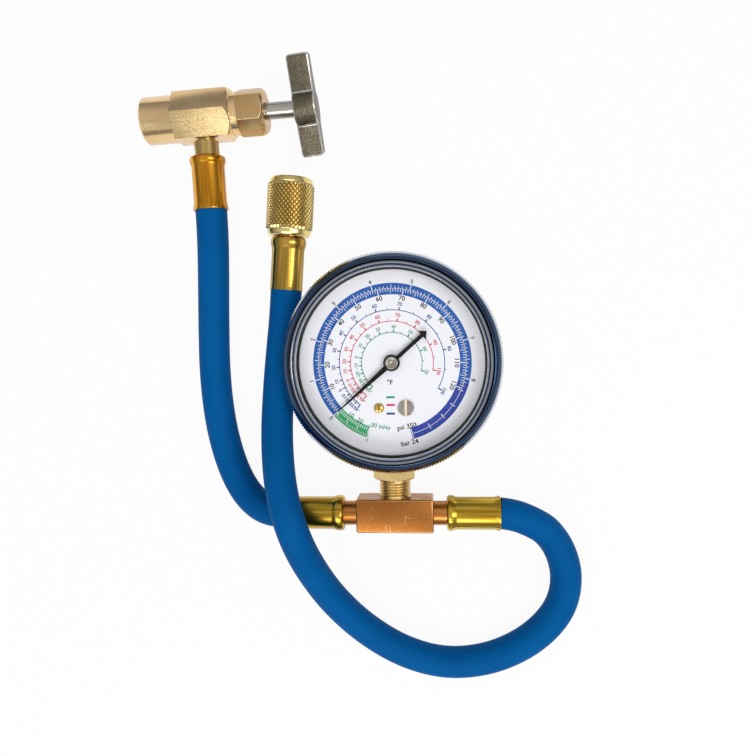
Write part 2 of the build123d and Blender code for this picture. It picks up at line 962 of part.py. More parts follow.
def movement_screw(x, y):
    seat = shelf_top + plate_thickness
    shank = movement_screw_diameter / 2
    head = movement_screw_head / 2
    return Pos(x, y, 0) * turned_upright(
        (0, seat - movement_screw_length),
        (shank, seat - movement_screw_length),
        (shank, seat),
        (head, seat),
        (head, seat + movement_screw_head_height),
        (0, seat + movement_screw_head_height),
    )


def involute(angle):
    return tan(angle) - angle


def tooth_flank(teeth):
    """Half-angle of a tooth at a few radii, from its root to its tip."""
    pressure = radians(gear_pressure_angle)
    pitch_radius = gear_module * teeth / 2
    base_radius = pitch_radius * cos(pressure)
    root_radius = pitch_radius - gear_dedendum * gear_module
    tip_radius = pitch_radius + gear_addendum * gear_module
    half_at_pitch = pi / (2 * teeth) - gear_backlash / 2 / pitch_radius
    flank = []
    for radius in (root_radius, max(base_radius, root_radius), pitch_radius, tip_radius):
        reach = acos(base_radius / max(radius, base_radius))
        flank.append((radius, half_at_pitch + involute(pressure) - involute(reach)))
    return [point for number, point in enumerate(flank) if number == 0 or point[0] > flank[number - 1][0]]


def tooth_points(teeth, centre_angle):
    """Corners of one tooth, in turning order, about its gear's own centre."""
    flank = tooth_flank(teeth)
    rising = [(radius, centre_angle - half) for radius, half in flank]
    falling = [(radius, centre_angle + half) for radius, half in reversed(flank)]
    return [(radius * cos(angle), radius * sin(angle)) for radius, angle in rising + falling]


def pinion_outline():
    points = []
    for number in range(pinion_teeth):
        gap_at_sector = radians(-90) + pi / pinion_teeth
        points.extend(tooth_points(pinion_teeth, gap_at_sector + 2 * pi * number / pinion_teeth))
    return make_face(Polyline(*points, close=True))


def sector_outline():
    """Toothed rim, web, hub and tail, about the sector's own pivot."""
    pitch = 2 * pi / sector_full_teeth
    points = []
    for number in range(-sector_teeth_below, sector_teeth_above + 1):
        points.extend(tooth_points(sector_full_teeth, radians(90) + number * pitch))
    inner = sector_radius - gear_module * gear_dedendum - sector_rim
    first = atan2(points[0][1], points[0][0])
    last = atan2(points[-1][1], points[-1][0])
    inner_first = (inner * cos(first), inner * sin(first))
    inner_last = (inner * cos(last), inner * sin(last))
    middle = (first + last) / 2
    inner_middle = (inner * cos(middle), inner * sin(middle))
    toothed = Polyline(inner_first, *points, inner_last)
    inner_arc = ThreePointArc(inner_last, inner_middle, inner_first)
    rim = make_face([toothed, inner_arc])
    spread = (last - first) / 2 - radians(3)
    sides = [(inner + 0.6, middle - spread), (inner + 0.6, middle + spread)]
    web = Sketch()
    for radius, angle in sides:
        web += rounded_bar(0, 0, radius * cos(angle), radius * sin(angle), sector_web_width / 2)
    tail = rounded_bar(0, 0, tail_x, tail_y - sector_y, sector_tail_width)
    return rim + web + tail + Circle(sector_hub_diameter / 2)


def sector_gear():
    gear = Pos(0, sector_y, 0) * slab(sector_outline(), sector_bottom, sector_thickness)
    gear -= upright_pin(0, sector_y, sector_arbor_diameter, sector_bottom, sector_top)
    return gear - upright_pin(tail_x, tail_y, pin_diameter, sector_bottom, sector_top)


def sector_arbor():
    lower_face = shelf_top + plate_thickness + running_clearance
    upper_face = top_plate_bottom - running_clearance
    pivot = sector_pivot_diameter / 2
    arbor = sector_arbor_diameter / 2
    return Pos(0, sector_y, 0) * turned_upright(
        (0, shelf_top),
        (pivot, shelf_top),
        (pivot, lower_face),
        (arbor, lower_face),
        (arbor, upper_face),
        (pivot, upper_face),
        (pivot, top_plate_top),
        (0, top_plate_top),
    )


def pinion_arbor():
    """The pointer's arbor, cut in one piece with its pinion, and the hairspring's collet on it."""
    lower_face = shelf_top + plate_thickness + running_clearance
    middle = (sector_bottom + sector_top) / 2
    pinion = slab(pinion_outline(), middle - pinion_width / 2, pinion_width)
    collet_top = top_plate_bottom - running_clearance
    nose = pointer_bottom - (pointer_hub_thickness - pointer_thickness) / 2
    arbor = turned_upright(
        (0, shelf_top),
        (arbor_foot_diameter / 2, shelf_top),
        (arbor_foot_diameter / 2, lower_face),
        (arbor_diameter / 2, lower_face),
        (arbor_diameter / 2, collet_top - collet_height),
        (collet_diameter / 2, collet_top - collet_height),
        (collet_diameter / 2, collet_top),
        (arbor_diameter / 2, collet_top),
        (arbor_diameter / 2, nose),
        (arbor_nose_diameter / 2, nose),
        (arbor_nose_diameter / 2, nose + pointer_hub_thickness),
        (0, nose + pointer_hub_thickness),
    )
    return pinion + arbor


def hairspring():
    """A flat spiral of half rings, each one step larger, from the collet to the stud."""
    strip = Sketch()
    radius = collet_diameter / 2 + spring_strip / 2
    centre = 0
    for number in range(spring_half_turns):
        upper = number % 2 == 0
        half_ring = Circle(radius + spring_strip / 2) - Circle(radius - spring_strip / 2)
        window = Rectangle(6 * radius, 3 * radius, align=(Align.CENTER, Align.MIN if upper else Align.MAX))
        strip += Pos(centre, 0) * (half_ring & window)
        centre += spring_step if upper else -spring_step
        radius += spring_step
    return slab(strip, top_plate_bottom - running_clearance - spring_height, spring_height)


def spring_stud():
    """The pin under the upper plate that holds the hairspring's outer end."""
    outer = collet_diameter / 2 + spring_strip / 2 + spring_step * (spring_half_turns - 1)
    end = outer + spring_step * ((spring_half_turns + 1) % 2) + spring_strip / 2
    bottom = top_plate_bottom - running_clearance - spring_height
    stud_x = end + spring_step + stud_diameter / 2 - 0.02
    return upright_pin(stud_x, -stud_diameter / 2, stud_diameter, bottom, top_plate_bottom)


def link():
    """The strip between the tube's tip and the sector's tail, with a slack eye at the tail."""
    strip = rounded_bar(tail_x, tail_y, tip_pin_x, tip_pin_y, link_width)
    strip += Pos(tail_x, tail_y) * Circle(link_eye_radius)
    strip += Pos(tip_pin_x, tip_pin_y) * Circle(link_eye_radius)
    bar = slab(strip, link_bottom, link_thickness)
    bar -= upright_pin(tail_x, tail_y, pin_diameter + 2 * link_slack, link_bottom, link_top)
    tip_hole = pin_diameter + 2 * running_clearance
    return bar - upright_pin(tip_pin_x, tip_pin_y, tip_hole, link_bottom, link_top)


def headed_pin(x, y, bottom):
    head_bottom = link_top + running_clearance
    return Pos(x, y, 0) * turned_upright(
        (0, bottom),
        (pin_diameter / 2, bottom),
        (pin_diameter / 2, head_bottom),
        (pin_head_diameter / 2, head_bottom),
        (pin_head_diameter / 2, head_bottom + pin_head_thickness),
        (0, head_bottom + pin_head_thickness),
    )


def bourdon_tip():
    """The brass end piece soldered on the tube, with a lug for the link's pin."""
    half_width = bourdon_thickness / 2 + tip_margin
    half_depth = bourdon_depth / 2 + tip_margin
    outline = Plane.XZ * Pos(bourdon_radius, stem_height) * Rectangle(2 * half_width, 2 * half_depth)
    cap = swept_round(outline, bourdon_end_angle - tip_angle, bourdon_end_angle)
    lug_root_angle = radians(bourdon_end_angle - 0.6 * tip_angle)
    lug_x = bourdon_radius * cos(lug_root_angle)
    lug_y = bourdon_radius * sin(lug_root_angle)
    lug = rounded_bar(tip_pin_x, tip_pin_y, lug_x, lug_y, 2 * tip_lug_radius)
    tip = cap + slab(lug, sector_bottom, sector_thickness)
    return tip - upright_pin(tip_pin_x, tip_pin_y, pin_diameter, sector_bottom, sector_top)


# Dial, its screws and the pointer
def dial_plate():
    plate = upright_pin(0, 0, dial_diameter, dial_height, dial_top)
    plate -= upright_pin(0, 0, dial_hole_diameter, dial_height, dial_top)
    left, right = dial_screw_places()
    plate -= upright_pin(*left, dial_screw_diameter, dial_height, dial_top)
    return plate - upright_pin(*right, dial_screw_diameter + 2 * running_clearance, dial_height, dial_top)


def dial_screw_places():
    return (-dial_screw_spread / 2, dial_screw_y), (dial_screw_spread / 2, dial_screw_y)


def dial_posts():
    left, right = dial_screw_places()
    hole_bottom = dial_height - screw_bite
    posts = [
        upright_pin(x, y, dial_post_diameter, top_plate_top, dial_height) for x, y in (left, right)
    ]
    posts[0] -= upright_pin(*left, dial_screw_diameter, hole_bottom, dial_height)
    posts[1] -= upright_pin(*right, dial_screw_diameter + 2 * running_clearance, hole_bottom, dial_height)
    return posts


def slotted_screw(head_diameter, head_height, head_bottom):
    """A slotted screw at the origin, whose shank ends in the dial post."""
    top = head_bottom + head_height
    screw = turned_upright(
        (0, dial_height - screw_bite),
        (dial_screw_diameter / 2, dial_height - screw_bite),
        (dial_screw_diameter / 2, head_bottom),
        (head_diameter / 2, head_bottom),
        (head_diameter / 2, top - head_height / 3),
        (head_diameter / 2 - head_height / 3, top),
        (0, top),
    )
    slot = Box(calibration_slot, head_diameter, 2 * calibration_slot_depth)
    return screw - Pos(0, 0, top) * slot


def pointer():
    """Needle, hub disc and arrow tail, drawn along +X and turned to the zero mark."""
    root = pointer_root_width / 2
    tip = pointer_tip_width / 2
    tail = pointer_tail_width / 2
    barb_x = -(pointer_tail_reach - arrow_length)
    needle = make_face(Polyline(
        (0, root), (pointer_reach, tip), (pointer_reach, -tip), (0, -root), close=True
    ))
    stalk = make_face(Polyline((0, tail), (0, -tail), (barb_x, -tail), (barb_x, tail), close=True))
    arrow = make_face(Polyline(
        (barb_x, arrow_half_width), (barb_x, -arrow_half_width), (-pointer_tail_reach, 0), close=True
    ))
    arms = slab(needle + stalk + arrow, pointer_bottom, pointer_thickness)
    hub_bottom = pointer_bottom - (pointer_hub_thickness - pointer_thickness) / 2
    hub_top = hub_bottom + pointer_hub_thickness
    arms += upright_pin(0, 0, pointer_hub_diameter, hub_bottom, hub_top)
    arms -= upright_pin(0, 0, arbor_nose_diameter, hub_bottom, hub_top)
    return Rot(0, 0, pointer_zero_angle) * arms


def pointer_cap():
    bottom = pointer_bottom + (pointer_hub_thickness + pointer_thickness) / 2
    top = bottom + cap_thickness
    return turned_upright(
        (0, bottom),
        (cap_diameter / 2, bottom),
        (cap_diameter / 2, top - cap_thickness / 3),
        (cap_diameter / 2 - cap_thickness / 3, top),
        (cap_dimple / 2, top),
        (0, top - cap_dimple_depth),
    )


os.makedirs("parts", exist_ok=True)

write("valve_body", valve_place * valve_body())
write("can_gasket", valve_place * ring(gasket_start, socket_floor, can_gasket_diameter, can_gasket_hole))
packing_hole = spindle_diameter + 2 * running_clearance
washer_end = packing_start + packing_washer_thickness
write("packing_washer", valve_place * ring(packing_start, washer_end, gland_thread_diameter, packing_hole))
packing_end = washer_end + packing_ring_thickness
write("packing_ring", valve_place * ring(washer_end, packing_end, gland_thread_diameter, packing_hole))
write("packing_nut", valve_place * packing_nut())
write("tap_spindle", valve_place * tap_spindle())
write("piercing_needle", valve_place * piercing_needle())
write("tap_handle", valve_place * tap_handle())

for name, place in (
    ("valve", outlet_place),
    ("tee_left", tee_left_place),
    ("tee_right", tee_right_place),
    ("coupler", coupler_place),
):
    write(f"{name}_ferrule", place * ferrule())
write("valve_outlet_nipple", outlet_place * spigot_nipple())
write("tee_left_nipple", tee_left_place * spigot_nipple())
write("tee_right_nipple", tee_right_place * spigot_nipple())
write("hose_to_valve", hose(valve_hose_route, outlet_place, tee_left_place))
write("hose_to_coupler", hose(coupler_hose_route, tee_right_place, coupler_place))

write("coupler_nipple", coupler_place * coupler_nipple())
write("coupler_nut", coupler_place * coupler_nut())
gasket_end = coupler_face + coupler_gasket_thickness
coupler_gasket = ring(coupler_face, gasket_end, coupler_flange_diameter, coupler_gasket_hole)
write("coupler_gasket", coupler_place * coupler_gasket)
write("core_depressor", coupler_place * core_depressor())

write("tee_block", tee_block())
write("gauge_socket", gauge_socket())
write("gauge_case", gauge_case())
write("case_screws", Compound(children=case_screws()))
write("bezel", bezel())
write("lens", lens())
write("lens_gasket", lens_gasket())

write("bourdon_tube", bourdon_tube())
write("bourdon_tip", bourdon_tip())
write("tip_pin", headed_pin(tip_pin_x, tip_pin_y, sector_bottom))
write("link", link())
write("tail_pin", headed_pin(tail_x, tail_y, sector_bottom))
write("sector_gear", sector_gear())
write("sector_arbor", sector_arbor())
write("pinion_arbor", pinion_arbor())
write("hairspring", hairspring())
write("hairspring_stud", spring_stud())
write("movement_lower_plate", lower_plate())
write("movement_upper_plate", upper_plate())
write("movement_pillars", Compound(children=[pillar(x, y) for x, y in pillar_places()]))
write("movement_screws", Compound(children=[movement_screw(x, y) for x, y in movement_screw_places()]))

left_screw, right_screw = dial_screw_places()
write("dial_plate", dial_plate())
write("dial_posts", Compound(children=dial_posts()))
write("dial_screw", Pos(*left_screw) * slotted_screw(dial_screw_head, dial_screw_head_height, dial_top))
calibration_screw = slotted_screw(calibration_head, calibration_head_height, dial_top)
write("calibration_screw", Pos(*right_screw) * calibration_screw)
write("pointer", pointer())
write("pointer_cap", pointer_cap())
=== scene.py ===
"""Refrigerant charging hose with gauge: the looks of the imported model, in metres."""
from math import atan2, cos, hypot, pi, radians, sin

import bmesh
import bpy
from mathutils import Matrix, Vector


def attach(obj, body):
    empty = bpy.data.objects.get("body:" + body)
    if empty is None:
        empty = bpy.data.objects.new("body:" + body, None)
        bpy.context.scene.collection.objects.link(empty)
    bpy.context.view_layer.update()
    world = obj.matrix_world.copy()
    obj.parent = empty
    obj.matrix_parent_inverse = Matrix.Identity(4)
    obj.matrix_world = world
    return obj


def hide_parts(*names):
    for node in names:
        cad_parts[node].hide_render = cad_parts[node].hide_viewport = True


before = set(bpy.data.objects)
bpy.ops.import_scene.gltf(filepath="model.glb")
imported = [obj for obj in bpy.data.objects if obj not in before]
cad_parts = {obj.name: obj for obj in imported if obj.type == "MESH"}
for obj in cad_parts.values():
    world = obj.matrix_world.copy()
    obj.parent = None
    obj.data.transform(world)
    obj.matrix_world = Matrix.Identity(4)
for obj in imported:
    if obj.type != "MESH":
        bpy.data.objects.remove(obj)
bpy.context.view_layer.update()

# Camera.
# It looks almost straight down on the hose, a quarter of a metre above the table,
# and leans a few degrees towards the lower left of the picture.
camera_data = bpy.data.cameras.new("camera")
camera_data.sensor_fit = "HORIZONTAL"
camera_data.sensor_width = 36
camera_data.lens = 34.47
camera_data.clip_start = 0.01
camera = bpy.data.objects.new("camera", camera_data)
camera.location = (0.014572, 0.009527, 0.258234)
camera.rotation_euler = (radians(-3.540), radians(4.572), radians(-0.941))
bpy.context.collection.objects.link(camera)
bpy.context.scene.camera = camera
bpy.context.scene.view_settings.view_transform = "Standard"

# Table and studio light.
# A white table top under the hose, one soft lamp in front and one at the right,
# both above the part, and a room that is darker near the horizon.
table_reach = 3
table_drop = 0.0003
glow_share = 0.93

# The camera and the reflections see mostly the table's own even white, and the rest
# of it takes the faint shadow of the part.
white_table = bpy.data.materials.new("white_table")
white_table.use_nodes = True
table_nodes = white_table.node_tree.nodes
table_links = white_table.node_tree.links
table_shader = table_nodes["Principled BSDF"]
table_shader.inputs["Base Color"].default_value = (0.92, 0.92, 0.92, 1)
table_shader.inputs["Roughness"].default_value = 0.8
table_glow = table_nodes.new("ShaderNodeEmission")
table_path = table_nodes.new("ShaderNodeLightPath")
table_mirrored = table_nodes.new("ShaderNodeMath")
table_mirrored.operation = "MAXIMUM"
table_through = table_nodes.new("ShaderNodeMath")
table_through.operation = "MAXIMUM"
table_share = table_nodes.new("ShaderNodeMath")
table_share.operation = "MULTIPLY"
table_share.inputs[1].default_value = glow_share
table_mix = table_nodes.new("ShaderNodeMixShader")
table_links.new(table_path.outputs["Is Camera Ray"], table_mirrored.inputs[0])
table_links.new(table_path.outputs["Is Glossy Ray"], table_mirrored.inputs[1])
table_links.new(table_mirrored.outputs["Value"], table_through.inputs[0])
table_links.new(table_path.outputs["Is Transmission Ray"], table_through.inputs[1])
table_links.new(table_through.outputs["Value"], table_share.inputs[0])
table_links.new(table_share.outputs["Value"], table_mix.inputs["Fac"])
table_links.new(table_shader.outputs["BSDF"], table_mix.inputs[1])
table_links.new(table_glow.outputs["Emission"], table_mix.inputs[2])
table_links.new(table_mix.outputs["Shader"], table_nodes["Material Output"].inputs["Surface"])
table_mesh = bmesh.new()
bmesh.ops.create_grid(table_mesh, x_segments=1, y_segments=1, size=table_reach)
bmesh.ops.translate(table_mesh, verts=table_mesh.verts, vec=(0, 0, -table_drop))
table_data = bpy.data.meshes.new("table_top")
table_mesh.to_mesh(table_data)
table_data.materials.append(white_table)
table_top = bpy.data.objects.new("table_top", table_data)
bpy.context.collection.objects.link(table_top)


def add_lamp(name, place, size, watts):
    """A rectangular soft lamp that faces the middle of the part."""
    lamp_data = bpy.data.lights.new(name, "AREA")
    lamp_data.shape = "RECTANGLE"
    lamp_data.size, lamp_data.size_y = size
    lamp_data.energy = watts
    lamp = bpy.data.objects.new(name, lamp_data)
    lamp.location = place
    lamp.rotation_euler = (-Vector(place)).to_track_quat("-Z", "Y").to_euler()
    bpy.context.collection.objects.link(lamp)


add_lamp("front_lamp", place=(-0.12, -0.66, 0.76), size=(0.80, 0.40), watts=3.7)
add_lamp("right_lamp", place=(0.58, -0.05, 0.82), size=(0.30, 0.60), watts=2.6)

room = bpy.data.worlds.new("studio")
room.use_nodes = True
bpy.context.scene.world = room
room_nodes = room.node_tree.nodes
room_links = room.node_tree.links
room_direction = room_nodes.new("ShaderNodeTexCoord")
room_height = room_nodes.new("ShaderNodeSeparateXYZ")
room_ramp = room_nodes.new("ShaderNodeValToRGB")
room_ramp.color_ramp.elements[0].position = 0.15
room_ramp.color_ramp.elements[0].color = (0.26, 0.27, 0.30, 1)
room_ramp.color_ramp.elements[1].position = 0.90
room_ramp.color_ramp.elements[1].color = (0.70, 0.70, 0.70, 1)
room_links.new(room_direction.outputs["Generated"], room_height.inputs["Vector"])
room_links.new(room_height.outputs["Z"], room_ramp.inputs["Fac"])
room_links.new(room_ramp.outputs["Color"], room_nodes["Background"].inputs["Color"])

# Hoses.
# Two lengths of blue rubber hose, 10.8 mm across, with a smooth matt cover.
# Each end is pushed on a barbed nipple and crimped in a brass ferrule.
hose_diameter = 0.0108


def worn_surface_group():
    """Blotches for the colour, and a fine grain for the roughness and the relief."""
    group = bpy.data.node_groups.new("worn_surface", "ShaderNodeTree")
    for name, kind in (
        ("Colour", "NodeSocketColor"),
        ("Stain Colour", "NodeSocketColor"),
        ("Stain", "NodeSocketFloat"),
        ("Roughness", "NodeSocketFloat"),
        ("Roughness Change", "NodeSocketFloat"),
        ("Grain Size", "NodeSocketFloat"),
        ("Blotch Size", "NodeSocketFloat"),
    ):
        group.interface.new_socket(name=name, in_out="INPUT", socket_type=kind)
    for name, kind in (
        ("Colour", "NodeSocketColor"),
        ("Roughness", "NodeSocketFloat"),
        ("Height", "NodeSocketFloat"),
    ):
        group.interface.new_socket(name=name, in_out="OUTPUT", socket_type=kind)
    nodes = group.nodes
    links = group.links
    given = nodes.new("NodeGroupInput")
    result = nodes.new("NodeGroupOutput")
    place = nodes.new("ShaderNodeTexCoord")
    grain = nodes.new("ShaderNodeTexNoise")
    grain.inputs["Detail"].default_value = 4
    links.new(place.outputs["Object"], grain.inputs["Vector"])
    links.new(given.outputs["Grain Size"], grain.inputs["Scale"])
    blotch = nodes.new("ShaderNodeTexNoise")
    blotch.inputs["Detail"].default_value = 3
    links.new(place.outputs["Object"], blotch.inputs["Vector"])
    links.new(given.outputs["Blotch Size"], blotch.inputs["Scale"])
    spread = nodes.new("ShaderNodeMapRange")
    spread.inputs["From Min"].default_value = 0.36
    spread.inputs["From Max"].default_value = 0.66
    links.new(blotch.outputs["Fac"], spread.inputs["Value"])
    amount = nodes.new("ShaderNodeMath")
    amount.operation = "MULTIPLY"
    links.new(spread.outputs["Result"], amount.inputs[0])
    links.new(given.outputs["Stain"], amount.inputs[1])
    stained = nodes.new("ShaderNodeMixRGB")
    links.new(amount.outputs["Value"], stained.inputs["Fac"])
    links.new(given.outputs["Colour"], stained.inputs["Color1"])
    links.new(given.outputs["Stain Colour"], stained.inputs["Color2"])
    links.new(stained.outputs["Color"], result.inputs["Colour"])
    centred = nodes.new("ShaderNodeMath")
    centred.operation = "SUBTRACT"
    centred.inputs[1].default_value = 0.5
    links.new(grain.outputs["Fac"], centred.inputs[0])
    change = nodes.new("ShaderNodeMath")
    change.operation = "MULTIPLY_ADD"
    links.new(centred.outputs["Value"], change.inputs[0])
    links.new(given.outputs["Roughness Change"], change.inputs[1])
    links.new(given.outputs["Roughness"], change.inputs[2])
    links.new(change.outputs["Value"], result.inputs["Roughness"])
    links.new(grain.outputs["Fac"], result.inputs["Height"])
    return group


worn_surface = worn_surface_group()


def surface(name, colour, stain_colour, roughness, stain=0.5, metallic=1,
            change=0.15, grain=900, blotch=90, bump=0.08, gloss=0.5):
    """A material whose colour, roughness and fine relief come from the worn surface group."""
    material = bpy.data.materials.new(name)
    material.use_nodes = True
    nodes = material.node_tree.nodes
    links = material.node_tree.links
    shader = nodes["Principled BSDF"]
    shader.inputs["Metallic"].default_value = metallic
    shader.inputs["Specular IOR Level"].default_value = gloss
    worn = nodes.new("ShaderNodeGroup")
    worn.node_tree = worn_surface
    worn.inputs["Colour"].default_value = (*colour, 1)
    worn.inputs["Stain Colour"].default_value = (*stain_colour, 1)
    worn.inputs["Stain"].default_value = stain
    worn.inputs["Roughness"].default_value = roughness
    worn.inputs["Roughness Change"].default_value = change
    worn.inputs["Grain Size"].default_value = grain
    worn.inputs["Blotch Size"].default_value = blotch
    relief = nodes.new("ShaderNodeBump")
    relief.inputs["Strength"].default_value = bump
    relief.inputs["Distance"].default_value = 0.0002
    links.new(worn.outputs["Colour"], shader.inputs["Base Color"])
    links.new(worn.outputs["Roughness"], shader.inputs["Roughness"])
    links.new(worn.outputs["Height"], relief.inputs["Height"])
    links.new(relief.outputs["Normal"], shader.inputs["Normal"])
    return material


blue_rubber = surface("blue_rubber", (0.0005, 0.088, 0.290), (0.001, 0.110, 0.345),
                      roughness=0.50, stain=0.6, metallic=0, change=0.25,
                      grain=1500, blotch=60, bump=0.10, gloss=0.03)

# Guide points along each hose's middle line, from one ferrule's mouth to the other's.
valve_hose_route = [
    (-0.062306, 0.053180, 0.010104),
    (-0.06196, 0.0452, 0.0101),
    (-0.0627, 0.0315, 0.0083),
    (-0.0639, 0.0145, 0.0059),
    (-0.0642, -0.0040, 0.0055),
    (-0.0627, -0.0210, 0.0055),
    (-0.0594, -0.0350, 0.0055),
    (-0.0547, -0.0450, 0.0063),
    (-0.0486, -0.0506, 0.0086),
    (-0.0422, -0.05265, 0.0100),
    (-0.0360, -0.05265, 0.0100),
]
coupler_hose_route = [
    (0.0360, -0.05265, 0.0100),
    (0.0405, -0.0531, 0.0100),
    (0.0468, -0.0558, 0.0088),
    (0.0528, -0.0597, 0.0070),
    (0.0576, -0.0674, 0.0057),
    (0.0596, -0.0767, 0.0055),
    (0.0576, -0.0867, 0.0055),
    (0.0512, -0.0954, 0.0055),
    (0.0416, -0.1024, 0.0055),
    (0.0296, -0.1070, 0.0055),
    (0.0156, -0.1081, 0.0055),
    (0.0010, -0.1039, 0.0056),
    (-0.0124, -0.0948, 0.0072),
    (-0.0224, -0.0826, 0.0124),
    (-0.0289, -0.0694, 0.0196),
    (-0.0334, -0.0568, 0.0245),
    (-0.0372, -0.0426, 0.0245),
    (-0.0399, -0.0260, 0.0168),
    (-0.0402, -0.0090, 0.0104),
    (-0.0390, 0.0060, 0.0083),
    (-0.03776, 0.0163, 0.0080),
    (-0.0371, 0.0253, 0.0080),
]


def lay_hose(name, route, node):
    """A hose along one smooth curve, which stands for the CAD node of that name."""
    line = bpy.data.curves.new(name, "CURVE")
    line.dimensions = "3D"
    line.resolution_u = 12
    line.bevel_depth = hose_diameter / 2
    line.bevel_resolution = 10
    spline = line.splines.new("NURBS")
    spline.points.add(len(route) - 1)
    for point, place in zip(spline.points, route):
        point.co = (*place, 1)
    spline.order_u = 3
    spline.use_endpoint_u = True
    line.materials.append(blue_rubber)
    hose = bpy.data.objects.new(name, line)
    bpy.context.collection.objects.link(hose)
    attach(hose, "assembly")
    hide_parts(node)


lay_hose("valve_hose", valve_hose_route, "hose_to_valve")
lay_hose("coupler_hose", coupler_hose_route, "hose_to_coupler")

# Ferrules.
# Thin drawn brass shells, lacquered and very glossy, with fine streaks along
# their length: a rolled bead next to the fitting, a slight flare over the hose.
ferrule_length = 0.0182
ferrule_radius = 0.0056
squeezed_hose = 0.00515
hose_stop = 0.0174
nipple_hole = 0.0042


def drawn_streaks_group():
    """Streaks along X: how much of the darker colour shows, and a fine relief."""
    group = bpy.data.node_groups.new("drawn_streaks", "ShaderNodeTree")
    group.interface.new_socket(name="Vector", in_out="INPUT", socket_type="NodeSocketVector")
    group.interface.new_socket(name="Streak Size", in_out="INPUT", socket_type="NodeSocketFloat")
    group.interface.new_socket(name="Streaks", in_out="OUTPUT", socket_type="NodeSocketFloat")
    nodes = group.nodes
    links = group.links
    given = nodes.new("NodeGroupInput")
    result = nodes.new("NodeGroupOutput")
    stretched = nodes.new("ShaderNodeVectorMath")
    stretched.operation = "MULTIPLY"
    stretched.inputs[1].default_value = (0.03, 1, 1)
    noise = nodes.new("ShaderNodeTexNoise")
    noise.inputs["Detail"].default_value = 2
    spread = nodes.new("ShaderNodeMapRange")
    spread.inputs["From Min"].default_value = 0.40
    spread.inputs["From Max"].default_value = 0.62
    links.new(given.outputs["Vector"], stretched.inputs[0])
    links.new(stretched.outputs["Vector"], noise.inputs["Vector"])
    links.new(given.outputs["Streak Size"], noise.inputs["Scale"])
    links.new(noise.outputs["Fac"], spread.inputs["Value"])
    links.new(spread.outputs["Result"], result.inputs["Streaks"])
    return group


drawn_streaks = drawn_streaks_group()


def drawn_metal(name, colour, dark, place, roughness=0.20, size=650):
    """Metal with streaks along the X axis of the place where the piece lies."""
    material = bpy.data.materials.new(name)
    material.use_nodes = True
    nodes = material.node_tree.nodes
    links = material.node_tree.links
    shader = nodes["Principled BSDF"]
    shader.inputs["Metallic"].default_value = 1
    coordinates = nodes.new("ShaderNodeTexCoord")
    mapping = nodes.new("ShaderNodeMapping")
    mapping.vector_type = "TEXTURE"
    mapping.inputs["Location"].default_value = place.to_translation()
    mapping.inputs["Rotation"].default_value = place.to_euler()
    streaks = nodes.new("ShaderNodeGroup")
    streaks.node_tree = drawn_streaks
    streaks.inputs["Streak Size"].default_value = size
    tint = nodes.new("ShaderNodeMixRGB")
    tint.inputs["Color1"].default_value = (*colour, 1)
    tint.inputs["Color2"].default_value = (*dark, 1)
    dulled = nodes.new("ShaderNodeMapRange")
    dulled.inputs["To Min"].default_value = roughness - 0.05
    dulled.inputs["To Max"].default_value = roughness + 0.10
    relief = nodes.new("ShaderNodeBump")
    relief.inputs["Strength"].default_value = 0.12
    relief.inputs["Distance"].default_value = 0.0001
    links.new(coordinates.outputs["Object"], mapping.inputs["Vector"])
    links.new(mapping.outputs["Vector"], streaks.inputs["Vector"])
    links.new(streaks.outputs["Streaks"], tint.inputs["Fac"])
    links.new(streaks.outputs["Streaks"], dulled.inputs["Value"])
    links.new(streaks.outputs["Streaks"], relief.inputs["Height"])
    links.new(tint.outputs["Color"], shader.inputs["Base Color"])
    links.new(dulled.outputs["Result"], shader.inputs["Roughness"])
    links.new(relief.outputs["Normal"], shader.inputs["Normal"])
    return material


def place_on(x, y, z, turn):
    return Matrix.Translation((x, y, z)) @ Matrix.Rotation(radians(turn), 4, "Z")


valve_place = place_on(-0.0637, 0.0851, 0.010104, 2.5)
outlet_place = valve_place @ place_on(0, -0.03195, 0, 90)
coupler_place = place_on(-0.0371, 0.0253, 0.008, 85.8)
tee_left_place = place_on(-0.036, -0.05265, 0.010, 0)
tee_right_place = place_on(0.036, -0.05265, 0.010, 180)


def turned_piece(profile, steps):
    """A closed profile of (station, radius) points, turned about the X axis."""
    mesh = bmesh.new()
    corners = [mesh.verts.new((station, 0, radius)) for station, radius in profile]
    loop = []
    for number, corner in enumerate(corners):
        loop.append(mesh.edges.new((corner, corners[(number + 1) % len(corners)])))
    bmesh.ops.spin(mesh, geom=corners + loop, cent=(0, 0, 0), axis=(1, 0, 0),
                   angle=2 * pi, steps=steps, use_merge=True)
    bmesh.ops.remove_doubles(mesh, verts=mesh.verts, dist=1e-7)
    bmesh.ops.recalc_face_normals(mesh, faces=mesh.faces)
    return mesh


def smooth_where_gentle(mesh, limit):
    """Smooth faces, with a hard line wherever two faces meet at more than the limit."""
    mesh.normal_update()
    for face in mesh.faces:
        face.smooth = True
    for edge in mesh.edges:
        edge.smooth = len(edge.link_faces) == 2 and edge.calc_face_angle(0) < radians(limit)


def finish_piece(name, mesh, materials, body, slot, *nodes):
    """Makes a bmesh a piece that rides on a body and may stand for CAD nodes."""
    data = bpy.data.meshes.new(name)
    mesh.to_mesh(data)
    mesh.free()
    for material in materials:
        data.materials.append(material)
    piece = bpy.data.objects.new(name, data)
    bpy.context.collection.objects.link(piece)
    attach(piece, body)
    if nodes:
        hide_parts(*nodes)


